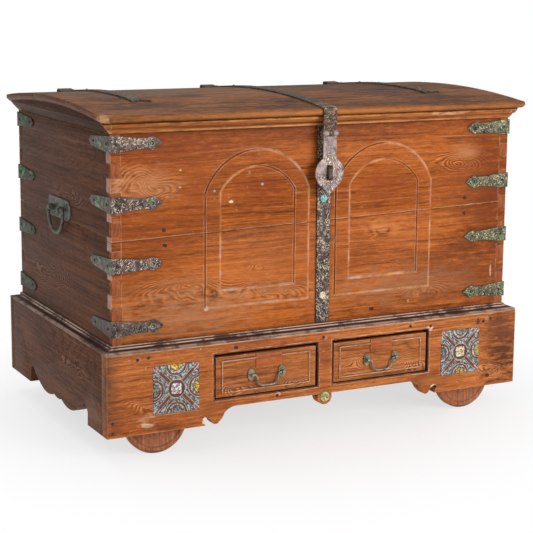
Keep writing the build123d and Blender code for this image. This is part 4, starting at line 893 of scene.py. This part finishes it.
hasp_iron = old_metal("hasp_iron", (168, 146, 146), (96, 74, 76), (250, 238, 214), (150, 190, 170), size=150.0,
                      flecks=0.95, verdigris=0.1, corner=0.003, bump=0.9, rim=0.8, where=neck_plain)
pin_iron = old_metal("pin_iron", (112, 90, 86), (58, 42, 42), (230, 208, 190), (120, 160, 140), size=150.0,
                     flecks=0.6, verdigris=0.1, rim=0.4)
staple_iron = old_metal("staple_iron", (84, 66, 58), (34, 22, 20), (190, 160, 140), (120, 160, 140), size=200.0,
                        flecks=0.4, verdigris=0.1, rim=0.6)
nail_iron = old_metal("nail_iron", (66, 50, 50), (30, 22, 22), (140, 120, 110), (90, 110, 100), flecks=0.2,
                      verdigris=0.1)
pull_brass = old_metal("pull_brass", (164, 154, 128), (96, 84, 66), (236, 230, 206), (104, 148, 130), size=240.0,
                       flecks=0.5, verdigris=0.3, metallic=0.6, gloss=0.36)
print("metals:", [m.name for m in bpy.data.materials if m.name.endswith(("_iron", "_brass"))])

# %% [markdown]
# ## Dressing a piece of joinery
# The construction model has sharp edges. In a copy of each visible board the doubled points are merged, its flat
# faces are dissolved, and a small bevel is applied, so that every corner catches light. The construction piece
# itself stays untouched and hidden behind it.

# %% Dressing tools
bodies = frame["record"]["behaviour"]["bodies"]
body_of = {node: body for body, nodes in bodies.items() for node in nodes}


def only(piece):
    """Selects one object and makes it active."""
    bpy.ops.object.select_all(action="DESELECT")
    piece.select_set(True)
    bpy.context.view_layer.objects.active = piece


def dress(node, finish, bevel=0.0012):
    """A bevelled copy that stands for a construction piece."""
    source = frame["nodes"][node]
    piece = bpy.data.objects.new("dressed_" + node, source.data.copy())
    bpy.context.scene.collection.objects.link(piece)
    only(piece)
    bpy.ops.object.mode_set(mode="EDIT")
    bpy.ops.mesh.select_all(action="SELECT")
    bpy.ops.mesh.remove_doubles(threshold=0.00001)
    bpy.ops.mesh.dissolve_limited(angle_limit=radians(0.6))
    bpy.ops.object.mode_set(mode="OBJECT")
    rounding = piece.modifiers.new("rounding", "BEVEL")
    rounding.width, rounding.segments = bevel, 2
    rounding.limit_method, rounding.angle_limit = "ANGLE", radians(30)
    bpy.ops.object.modifier_apply(modifier="rounding")
    bpy.ops.object.shade_smooth_by_angle(angle=radians(40))
    piece.data.materials.clear()
    piece.data.materials.append(finish)
    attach(piece, body_of[node])
    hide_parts(node)
    return piece


print("bodies:", list(bodies))

# %% [markdown]
# ## Boards and irons
# Boards get a bevel of about a millimetre, and irons half of that. The ends of the lid are two woods in one: their
# front faces belong to the rail that runs on to the corner, and the rest is dark end wood.

# %% Dressed boards and irons
finishes = {
    "front_lower_board": front_wood, "front_upper_board": front_wood, "back_lower_board": back_wood,
    "back_upper_board": back_wood, "left_lower_board": side_wood, "left_upper_board": side_wood,
    "right_lower_board": side_wood, "right_upper_board": side_wood, "plinth_mouldings": moulding_wood,
    "base_front_board": base_wood, "base_back_board": base_back_wood, "base_left_board": base_side_wood,
    "base_right_board": base_side_wood, "left_drawer_front": drawer_wood, "right_drawer_front": drawer_wood,
    "lid_front_board": lid_wood, "lid_middle_board": lid_wood, "lid_back_board": lid_wood,
    "lid_front_rail": rail_wood, "lid_back_rail": back_wood, "lid_left_end": end_wood, "lid_right_end": end_wood,
}
for node, finish in finishes.items():
    dress(node, finish)
iron_finishes = {
    "lid_left_strap": lid_iron, "lid_centre_strap": lid_iron, "lid_right_strap": lid_iron,
    "front_left_corner_straps": green_iron, "front_right_corner_straps": olive_iron,
    "back_left_corner_straps": back_iron, "back_right_corner_straps": dull_iron, "hasp": hasp_iron,
    "front_centre_strap": strap_iron, "left_handle_plate": handle_iron, "right_handle_plate": handle_iron,
}
for node, finish in iron_finishes.items():
    dress(node, finish, bevel=0.0005)
for side in ("left", "right"):
    end = bpy.data.objects[f"dressed_lid_{side}_end"]
    end.data.materials.append(rail_wood)
    for face in end.data.polygons:
        face.material_index = int(face.normal.y < -0.5)
print("dressed:", len(finishes), "boards and", len(iron_finishes), "irons")

# %% [markdown]
# ## Pieces that keep their construction mesh
# Boards inside the chest, pins, nails and bails are already round or are hardly seen, so they only get a finish.
# The floor boards, the runners and the drawers' insides are plain sawn wood, as nobody waxed them.

# %% Plain finishes
plain_finishes = {
    plain_wood: ("chest_floor_boards", "base_deck_boards", "drawer_runners", "drawer_guides", "left_drawer_box",
                 "right_drawer_box", "axle_bearers"),
    pin_iron: ("hasp_pin",),
    staple_iron: ("hasp_staple",),
    nail_iron: ("chest_nails",),
    dull_iron: ("hinge_leaves", "hinge_pins", "axle_pins"),
    handle_iron: ("left_handle_bail", "right_handle_bail"),
    lid_iron: ("lid_strap_nails",),
    pull_brass: ("left_drawer_rosettes", "right_drawer_rosettes", "left_drawer_pull", "right_drawer_pull"),
}
for finish, nodes in plain_finishes.items():
    for node in nodes:
        frame["nodes"][node].data.materials.clear()
        frame["nodes"][node].data.materials.append(finish)
print("plain pieces:", sum(len(nodes) for nodes in plain_finishes.values()))

# %% [markdown]
# ## Shaping small ornaments
# Bosses, petals and rings are all pressed or cast shapes that rise from a face. A petal starts as a ball, is
# stretched, turned and cut flat at the face, and a ring starts as a round bar that is squashed and cut in the same
# way. Building an ornament from such shapes keeps it closed and easy to change. Everything here faces -Y.

# %% Ornament shapes
def fresh(kind, **settings):
    """Adds a primitive and leaves it in edit mode with all of it selected."""
    bpy.ops.object.select_all(action="DESELECT")
    getattr(bpy.ops.mesh, "primitive_" + kind + "_add")(**settings)
    bpy.ops.object.mode_set(mode="EDIT")
    bpy.ops.mesh.select_all(action="SELECT")
    return bpy.context.object


def cut(place, normal):
    """Cuts the edited mesh at a plane and drops what lies beyond it."""
    bpy.ops.mesh.select_all(action="SELECT")
    bpy.ops.mesh.bisect(plane_co=place, plane_no=normal, use_fill=True, clear_outer=True)


def petal(place, long, wide, high, turn=0.0):
    """A domed petal on a face that looks along -Y."""
    piece = fresh("uv_sphere", segments=16, ring_count=10, radius=1, location=place)
    bpy.ops.transform.resize(value=(long, high, wide))
    bpy.ops.transform.rotate(value=turn, orient_axis="Y", center_override=place)
    cut(place, (0, 1, 0))
    bpy.ops.object.mode_set(mode="OBJECT")
    return piece


def ring(place, radius, bar, high, squash=1.0, end=None):
    """A flat ring on a face that looks along -Y, cut off beyond an end plane if one is given."""
    piece = fresh("torus", major_radius=radius, minor_radius=bar, major_segments=40, minor_segments=8,
                  location=place, rotation=(pi / 2, 0, 0))
    bpy.ops.transform.resize(value=(1, high / bar, squash))
    cut(place, (0, 1, 0))
    if end:
        cut(*end)
    bpy.ops.object.mode_set(mode="OBJECT")
    return piece


print("shapes:", petal.__name__, "and", ring.__name__)

# %% [markdown]
# ## From shapes to a finished piece
# The shapes of an ornament are joined and get their finish and the body that they ride on. Each ornament has its
# place in its mesh, so that it can be copied by moving the mesh.

# %% Finished ornaments
def ornament(name, shapes, finish, slot, body, nodes=()):
    """Joins shapes into one finished piece that rides on a body."""
    bpy.ops.object.select_all(action="DESELECT")
    for shape in shapes:
        shape.select_set(True)
    piece = bpy.context.view_layer.objects.active = shapes[0]
    if len(shapes) > 1:
        bpy.ops.object.join()
    only(piece)
    bpy.ops.object.transform_apply(location=True, rotation=True, scale=True)
    bpy.ops.object.mode_set(mode="EDIT")
    bpy.ops.mesh.select_all(action="SELECT")
    bpy.ops.mesh.normals_make_consistent(inside=False)
    bpy.ops.object.mode_set(mode="OBJECT")
    bpy.ops.object.shade_smooth_by_angle(angle=radians(45))
    piece.name = piece.data.name = name
    piece.data.materials.clear()
    piece.data.materials.append(finish)
    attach(piece, body)
    if nodes:
        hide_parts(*nodes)
    return piece


def twin(piece, name, shift, finish, slot, body, nodes=()):
    """A copy of a piece with its own mesh, moved by a shift."""
    copy = bpy.data.objects.new(name, piece.data.copy())
    bpy.context.scene.collection.objects.link(copy)
    copy.data.name = name
    copy.data.transform(Matrix.Translation(shift))
    copy.data.materials.clear()
    copy.data.materials.append(finish)
    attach(copy, body)
    if nodes:
        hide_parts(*nodes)
    return copy


# %% [markdown]
# ## Tile glaze
# The tiles carry a pattern that potters have used for centuries: a flower in a ring, a half flower in half rings at
# each edge, and leaves towards the corners. Because it is the same in each quarter, the glaze works on the distance
# from the tile's middle lines. Distances to the middle, to the nearest edge's middle and to the corner give the
# zones, which are filled with turquoise, yellow, pink and brown slip. Dark flecks stand for crazing and lost glaze.

# %% Tile zones
tile_middle, tile_half = (0.401, 0.164), 0.0585


def within(tree, value, limit):
    """One where a value is under a limit, with a narrow soft edge."""
    return spread(tree, value, limit - 0.0004, limit + 0.0004, 1, 0)


def speckled(tree, place, scale, low, high, first, second):
    """Two slips that ran into each other."""
    return blend(tree, spread(tree, cloud(tree, place, scale, 2, 0.5), low, high), tone(*first), tone(*second))


def tile_zones(tree, place, middle_x, lean):
    """How far a place is from the parts of the pattern, a little uneven as a brush is."""
    spot = axes(tree, place)
    signed_x, signed_z = sums(tree, "SUBTRACT", spot[0], middle_x), sums(tree, "SUBTRACT", spot[2], tile_middle[1])
    across_tile, up_tile = sums(tree, "ABSOLUTE", signed_x), sums(tree, "ABSOLUTE", signed_z)
    wobble = sums(tree, "SUBTRACT", cloud(tree, place, 180, 2, 0.5), 0.5)

    def reach(first, second):
        both = put(tree, "CombineXYZ", {0: first, 1: second}).outputs[0]
        return sums(tree, "MULTIPLY_ADD", wobble, 0.005, size_of(tree, both))

    centre = reach(across_tile, up_tile)
    long_way = sums(tree, "SUBTRACT", sums(tree, "MAXIMUM", across_tile, up_tile), tile_half)
    edge = reach(long_way, sums(tree, "MINIMUM", across_tile, up_tile))
    corner = reach(sums(tree, "SUBTRACT", across_tile, tile_half), sums(tree, "SUBTRACT", up_tile, tile_half))
    diagonal = sums(tree, "ABSOLUTE", sums(tree, "SUBTRACT", across_tile, up_tile))
    from_middle = put(tree, "CombineXYZ", {0: signed_x, 2: signed_z}).outputs[0]
    towards = put(tree, "VectorMath", {0: from_middle, 1: lean}, operation="DOT_PRODUCT").outputs[1]
    return wobble, centre, edge, corner, diagonal, spread(tree, towards, -0.006, 0.012)


print("tile is", 2 * tile_half, "m wide")

# %% [markdown]
# ## Slips of the tiles
# The slips are laid from the ground up, as a potter would: first the mottled ground, then the leaves, the half
# flowers, the middle flower, and at last the dark and white outlines. Dark flecks of lost glaze come over all.

# %% Tile glaze
def glaze(name, middle_x, flower, heart, sprig, lean):
    """The painted glaze of a tile, whose half flowers are brighter towards one side."""
    material, tree, place = start_material(name)
    wobble, centre, edge, corner, diagonal, bright = tile_zones(tree, place, middle_x, lean)
    brown, white, ink = (128, 62, 40), (212, 190, 172), (46, 30, 30)
    colour = speckled(tree, place, 150, 0.47, 0.55, (150, 190, 194), (92, 68, 64))
    rays = sums(tree, "SUBTRACT", 1, within(tree, centre, 0.022))
    rays = sums(tree, "MULTIPLY", within(tree, diagonal, 0.0086), rays)
    tips = speckled(tree, place, 170, 0.44, 0.54, (228, 204, 200), (186, 104, 118))
    colour = blend(tree, rays, colour, blend(tree, within(tree, corner, 0.022), tone(*brown), tips))
    for limit, tint, thick in ((0.0086, ink, 0.0014), (0.0066, white, 0.0012), (0.0014, ink, 0.0012)):
        colour = blend(tree, stripe(tree, diagonal, limit, thick * 0.4, thick), colour, tone(*tint))
    half_flower = speckled(tree, place, 160, 0.47, 0.55, (156, 200, 208), (70, 50, 50))
    dull = speckled(tree, place, 190, 0.48, 0.55, (150, 148, 140), (86, 68, 62))
    sprigs = blend(tree, bright, dull, speckled(tree, place, 200, 0.5, 0.58, sprig, (120, 82, 40)))
    lobes = sums(tree, "MULTIPLY_ADD", diagonal, 0.28, centre)
    flowers = blend(tree, spread(tree, cloud(tree, place, 150, 2, 0.5), 0.5, 0.6), tone(*flower), tone(*heart))
    for value, limit, filling in (
        (edge, 0.0295, tone(*brown)), (edge, 0.0225, half_flower), (edge, 0.0155, sprigs),
        (centre, 0.0225, tone(*brown)), (centre, 0.0195, tone(70, 50, 48)), (lobes, 0.0172, flowers),
    ):
        colour = blend(tree, within(tree, value, limit), colour, filling)
    for value, limit, tint, thick in (
        (edge, 0.0295, ink, 0.0012), (edge, 0.0275, white, 0.0011), (edge, 0.0225, ink, 0.0012),
        (edge, 0.0205, white, 0.0010), (edge, 0.0155, ink, 0.0011), (centre, 0.0225, white, 0.0012),
        (lobes, 0.0172, ink, 0.0012), (lobes, 0.0065, ink, 0.0009),
    ):
        colour = blend(tree, stripe(tree, value, limit, thick * 0.4, thick), colour, tone(*tint))
    lost = spread(tree, cloud(tree, place, 290, 4, 0.65), 0.51, 0.58, 0, 0.8)
    colour = blend(tree, lost, colour, tone(78, 52, 44))
    relief = put(tree, "Bump", {"Height": wobble, "Strength": 0.4, "Distance": 0.001}).outputs[0]
    end_material(tree, {"Base Color": colour, "Roughness": spread(tree, lost, 0, 1, 0.3, 0.6), "Normal": relief})
    return material


left_glaze = glaze("left_tile_glaze", -0.401, (236, 226, 224), (140, 118, 120), (250, 200, 60), (0.7, 0, 0.7))
right_glaze = glaze("right_tile_glaze", 0.401, (236, 226, 198), (214, 160, 66), (206, 170, 76), (0.6, 0, -0.8))
print("glazes:", left_glaze.name, right_glaze.name)

# %% [markdown]
# ## Tile relief
# The slip was laid on thickly, so the pattern also stands up a little: petals, rings and leaves are real shapes on
# the tile's face. One tile is modelled and the other is a copy with its own glaze. The plates themselves are the
# construction pieces with a rounded edge.

# %% Tile relief
def spoke(place, out, way):
    """A place on the same face, some way out at an angle."""
    return place[0] + out * cos(way), place[1], place[2] + out * sin(way)


tile_front = -0.35325
tile_centre = (-tile_middle[0], tile_front, tile_middle[1])
shapes = [ring(tile_centre, 0.021, 0.0016, 0.0012), petal(tile_centre, 0.0028, 0.0028, 0.0018)]
for quarter in range(4):
    slant, way = radians(45 + 90 * quarter), radians(90 * quarter)
    shapes.append(petal(spoke(tile_centre, 0.0092, slant), 0.0078, 0.0062, 0.0016, slant))
    shapes.append(petal(spoke(tile_centre, 0.058, slant), 0.015, 0.0044, 0.0012, slant))
    middle, inside = spoke(tile_centre, tile_half, way), spoke(tile_centre, tile_half - 0.0006, way)
    for radius in (0.0250, 0.0140):
        shapes.append(ring(middle, radius, 0.0015, 0.001, end=(inside, (cos(way), 0, sin(way)))))
    for side in (-50, 0, 50):
        lean = way + pi + radians(side)
        shapes.append(petal(spoke(middle, 0.0065, lean), 0.0036, 0.0022, 0.0012, lean))
left_relief = ornament("left_tile_relief", shapes, left_glaze, "tile_glaze", "chest")
twin(left_relief, "right_tile_relief", (2 * tile_middle[0], 0, 0), right_glaze, "tile_glaze", "chest")
plates = dress("painted_tiles", left_glaze, bevel=0.0008)
plates.data.materials.append(right_glaze)
for face in plates.data.polygons:
    if face.center.x > 0:
        face.material_index = 1
print("tile relief has", len(left_relief.data.polygons), "faces")

# %% [markdown]
# ## Bosses
# A small flower boss of six petals covers each nail of the centre strap, and one painted boss closes the lobe under
# the drawers. The flowers are cast in thin brass and painted, so their colour follows the distance from the middle.

# %% Boss tools
def paint(name, petals, heart, gaps, middle):
    """Old paint on a small boss, darker away from its middle."""
    material, tree, place = start_material(name)
    away = size_of(tree, put(tree, "VectorMath", {0: place, 1: middle}, operation="SUBTRACT").outputs[0])
    patch = spread(tree, cloud(tree, place, 120, 3, 0.6), 0.42, 0.58)
    colour = blend(tree, patch, tone(*petals), tone(*heart))
    lost = spread(tree, cloud(tree, place, 230, 4, 0.65), 0.5, 0.58)
    colour = blend(tree, sums(tree, "MULTIPLY", lost, 0.7), colour, tone(*gaps))
    colour = blend(tree, spread(tree, away, 0.0115, 0.0135), colour, tone(*gaps))
    relief = put(tree, "Bump", {"Height": patch, "Strength": 0.4, "Distance": 0.0008}).outputs[0]
    end_material(tree, {"Base Color": colour, "Roughness": spread(tree, lost, 0, 1, 0.42, 0.65), "Normal": relief})
    return material


def flower(place, radius, high, petals):
    """The shapes of a flower: a raised heart and petals round it."""
    shapes = [petal(place, radius * 0.32, radius * 0.32, high)]
    for turn in range(petals):
        way = 2 * pi * turn / petals
        shapes.append(petal(spoke(place, radius * 0.62, way), radius * 0.38, radius * 0.27, high * 0.7, way))
    return shapes


print("boss tools:", paint.__name__, "and", flower.__name__)

# %% [markdown]
# ## The three bosses
# The high flower is blue and the low one cream, and both are the same casting. The boss on the lobe is a low dome
# with two leaves that lean together over a bud.

# %% Three bosses
high_place, low_place = (0.003, -0.32825, 0.587), (0.003, -0.32825, 0.345)
blue_boss = paint("blue_boss_paint", (150, 214, 214), (110, 180, 180), (60, 50, 46), high_place)
cream_boss = paint("cream_boss_paint", (240, 226, 166), (228, 214, 190), (70, 56, 46), low_place)
shapes = [petal(high_place, 0.0095, 0.0095, 0.0012), *flower(high_place, 0.0100, 0.0028, 6)]
high_flower = ornament("high_flower_boss", shapes, blue_boss, "boss_paint", "chest", ("strap_bosses",))
twin(high_flower, "low_flower_boss", (0, 0, -0.242), cream_boss, "boss_paint", "chest", ("strap_bosses",))
lobe_paint = paint("lobe_boss_paint", (226, 214, 150), (138, 166, 92), (104, 62, 48), (0, -0.354, 0.093))
lobe_place = (0, -0.35235, 0.093)
shapes = [petal(lobe_place, 0.0148, 0.0148, 0.0016)]
for side in (-1, 1):
    shapes.append(petal((side * 0.0052, lobe_place[1], 0.0975), 0.0058, 0.0044, 0.003, side * radians(-50)))
shapes.append(petal((0, lobe_place[1], 0.0875), 0.0072, 0.0044, 0.0028, radians(90)))
ornament("lobe_boss", shapes, lobe_paint, "boss_paint", "chest", ("centre_boss",))
print("bosses added:", high_flower.name, "low_flower_boss", "lobe_boss")

# %% [markdown]
# ## Lobe rings
# Each corner strap ends in a lobe with an oval ring round its nail. One ring is modelled, the other seven are
# copies, and those on the left have turned paler and greener.

# %% Lobe rings
strap_lobes = [(-0.449, -0.32725, height) for height in (0.313, 0.461, 0.603, 0.742)]
shapes = [ring(strap_lobes[0], 0.0068, 0.0016, 0.0018, squash=0.85), petal(strap_lobes[0], 0.0036, 0.003, 0.0022)]
pale_ring = old_metal("pale_ring", (130, 150, 130), (80, 96, 84), cream, leaf_green, size=220.0, flecks=0.6,
                      verdigris=1.0, rim=0.5)
first = ornament("left_lobe_ring_1", shapes, pale_ring, "green_iron", "chest")
for count, place in enumerate(strap_lobes[1:], 2):
    twin(first, f"left_lobe_ring_{count}", Vector(place) - Vector(strap_lobes[0]), pale_ring, "green_iron", "chest")
for count, place in enumerate(strap_lobes, 1):
    shift = Vector((-place[0], place[1], place[2])) - Vector(strap_lobes[0])
    twin(first, f"right_lobe_ring_{count}", shift, olive_iron, "green_iron", "chest")
print("lobe rings:", 2 * len(strap_lobes))

# %% [markdown]
# ## Wheels
# The wheels were turned on a lathe from one disc, with a small hub, a shallow face, a groove and a rounded rim. A
# lathe is exactly what the spin tool imitates: a closed outline is drawn on one side of the axle and swept round.
# The outline starts as a ring of points that are then set one by one. One wheel is turned and copied three times.

# %% Turned wheels
outline_points = (
    (10, -13), (16.4, -13), (18, -11.4), (22, -10.8), (58, -11.2), (61, -11.8), (62.5, -10.4), (65, -10.4),
    (66.5, -12.2), (71, -12.8), (75.5, -12.2), (78.2, -10), (79, -7.5), (79, 7.5), (78.2, 10), (75.5, 12.2),
    (71, 12.8), (66.5, 12.2), (65, 10.4), (62.5, 10.4), (61, 11.8), (58, 11.2), (22, 10.8), (18, 11.4),
    (16.4, 13), (10, 13),
)
axle = Vector((-0.437, -0.30625, 0.079))
wheel = fresh("circle", vertices=len(outline_points), radius=0.01, location=(0, 0, 0))
bpy.ops.object.mode_set(mode="OBJECT")
for point, (out, along_axle) in zip(wheel.data.vertices, outline_points):
    point.co = axle + Vector((out / 1000, along_axle / 1000, 0))
bpy.ops.object.mode_set(mode="EDIT")
bpy.ops.mesh.select_all(action="SELECT")
bpy.ops.mesh.spin(steps=96, angle=2 * pi, center=axle, axis=(0, 1, 0))
bpy.ops.mesh.select_all(action="SELECT")
bpy.ops.mesh.remove_doubles(threshold=0.00001)
bpy.ops.object.mode_set(mode="OBJECT")
first_wheel = ornament("turned_wheel_front_left", [wheel], wheel_wood, "wheel_wood", "front_left_wheel",
                       ("front_left_wheel",))
across_front, to_back = 0.874, 0.626
for name, shift in (
    ("front_right", (across_front, 0, 0)), ("back_left", (0, to_back, 0)), ("back_right", (across_front, to_back, 0)),
):
    twin(first_wheel, "turned_wheel_" + name, shift, wheel_wood, "wheel_wood", name + "_wheel", (name + "_wheel",))
print("wheel has", len(first_wheel.data.polygons), "faces")

# %% [markdown]
# ## Ends of the lid's bead
# The bead under the lid doesn't stop at the corner of the box but runs on to the end of the lid, where it follows
# the cove. A round bar is halved along its length and its end is cut on the slant of the cove.

# %% Bead ends
bead_height = 0.784
for side, sign in (("left", -1), ("right", 1)):
    bar = fresh("cylinder", vertices=40, radius=0.0075, depth=0.03, location=(sign * 0.5645, -0.32875, bead_height),
                rotation=(0, pi / 2, 0))
    cut((0, -0.3284, 0), (0, 1, 0))
    cut((sign * 0.5672, 0, bead_height), (sign, 0, -0.9))
    bpy.ops.object.mode_set(mode="OBJECT")
    ornament(side + "_bead_end", [bar], rail_wood, "lid_wood", "lid")
print("bead ends are", bead_height, "m above the floor")

# %% [markdown]
# ## Patches in the drawers
# Each drawer once had a lock, whose place was filled with a patch of redder wood that breaks the bead. It is a thin
# block let into the front, chamfered round its face.

# %% Drawer patches
def patch(name, low, high, body):
    """A chamfered block between two corners on a drawer front."""
    centre = [(a + b) / 2 for a, b in zip(low, high)]
    piece = fresh("cube", size=1, location=centre)
    bpy.ops.transform.resize(value=[b - a for a, b in zip(low, high)])
    bpy.ops.mesh.select_all(action="DESELECT")
    bpy.ops.object.mode_set(mode="OBJECT")
    for face in piece.data.polygons:
        face.select = face.normal.y < -0.9
    bpy.ops.object.mode_set(mode="EDIT")
    bpy.ops.mesh.inset(thickness=0.0012, depth=0.0006)
    bpy.ops.object.mode_set(mode="OBJECT")
    return ornament(name, [piece], patch_wood, "drawer_wood", body)


patch_face, patch_back, drawer_top = -0.3502, -0.3470, 0.2242
patch("left_drawer_patch", (-0.190, patch_face, 0.188), (-0.120, patch_back, drawer_top), "left_drawer")
patch("right_drawer_patch", (0.131, patch_face, 0.193), (0.193, patch_back, drawer_top), "right_drawer")
print("patches are", round(patch_back - patch_face, 4), "m thick")

# %% [markdown]
# ## White floor
# Near the chest the floor is plain matt white, so it keeps the soft shadow. Further out it should be as white as
# the background, although less light falls there. A ring of the same white, seen by the camera and in reflections,
# fades in with the distance from the chest.

# %% Floor finish
floor_white, tree, spot = start_material("floor_white")
looks = put(tree, "LightPath", {}).outputs
seen = sums(tree, "MAXIMUM", looks["Is Camera Ray"], looks["Is Glossy Ray"])
fade = sums(tree, "MULTIPLY", spread(tree, size_of(tree, spot), 0.5, 1.0, 0.68, 1), seen)
matt = put(tree, "BsdfDiffuse", {"Color": (1, 1, 1, 1)}).outputs[0]
white = put(tree, "Emission", {"Color": (1, 1, 1, 1), "Strength": 1}).outputs[0]
mixed = put(tree, "MixShader", {0: fade, 1: matt, 2: white}).outputs[0]
put(tree, "OutputMaterial", {"Surface": mixed})
floor.data.materials.append(floor_white)
print("floor fades in with", len(tree.nodes), "nodes")

# %% [markdown]
# ## Sizes
# The bounds of the finished chest are measured in the same way as those of the construction model.

# %% Sizes and finish
low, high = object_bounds()
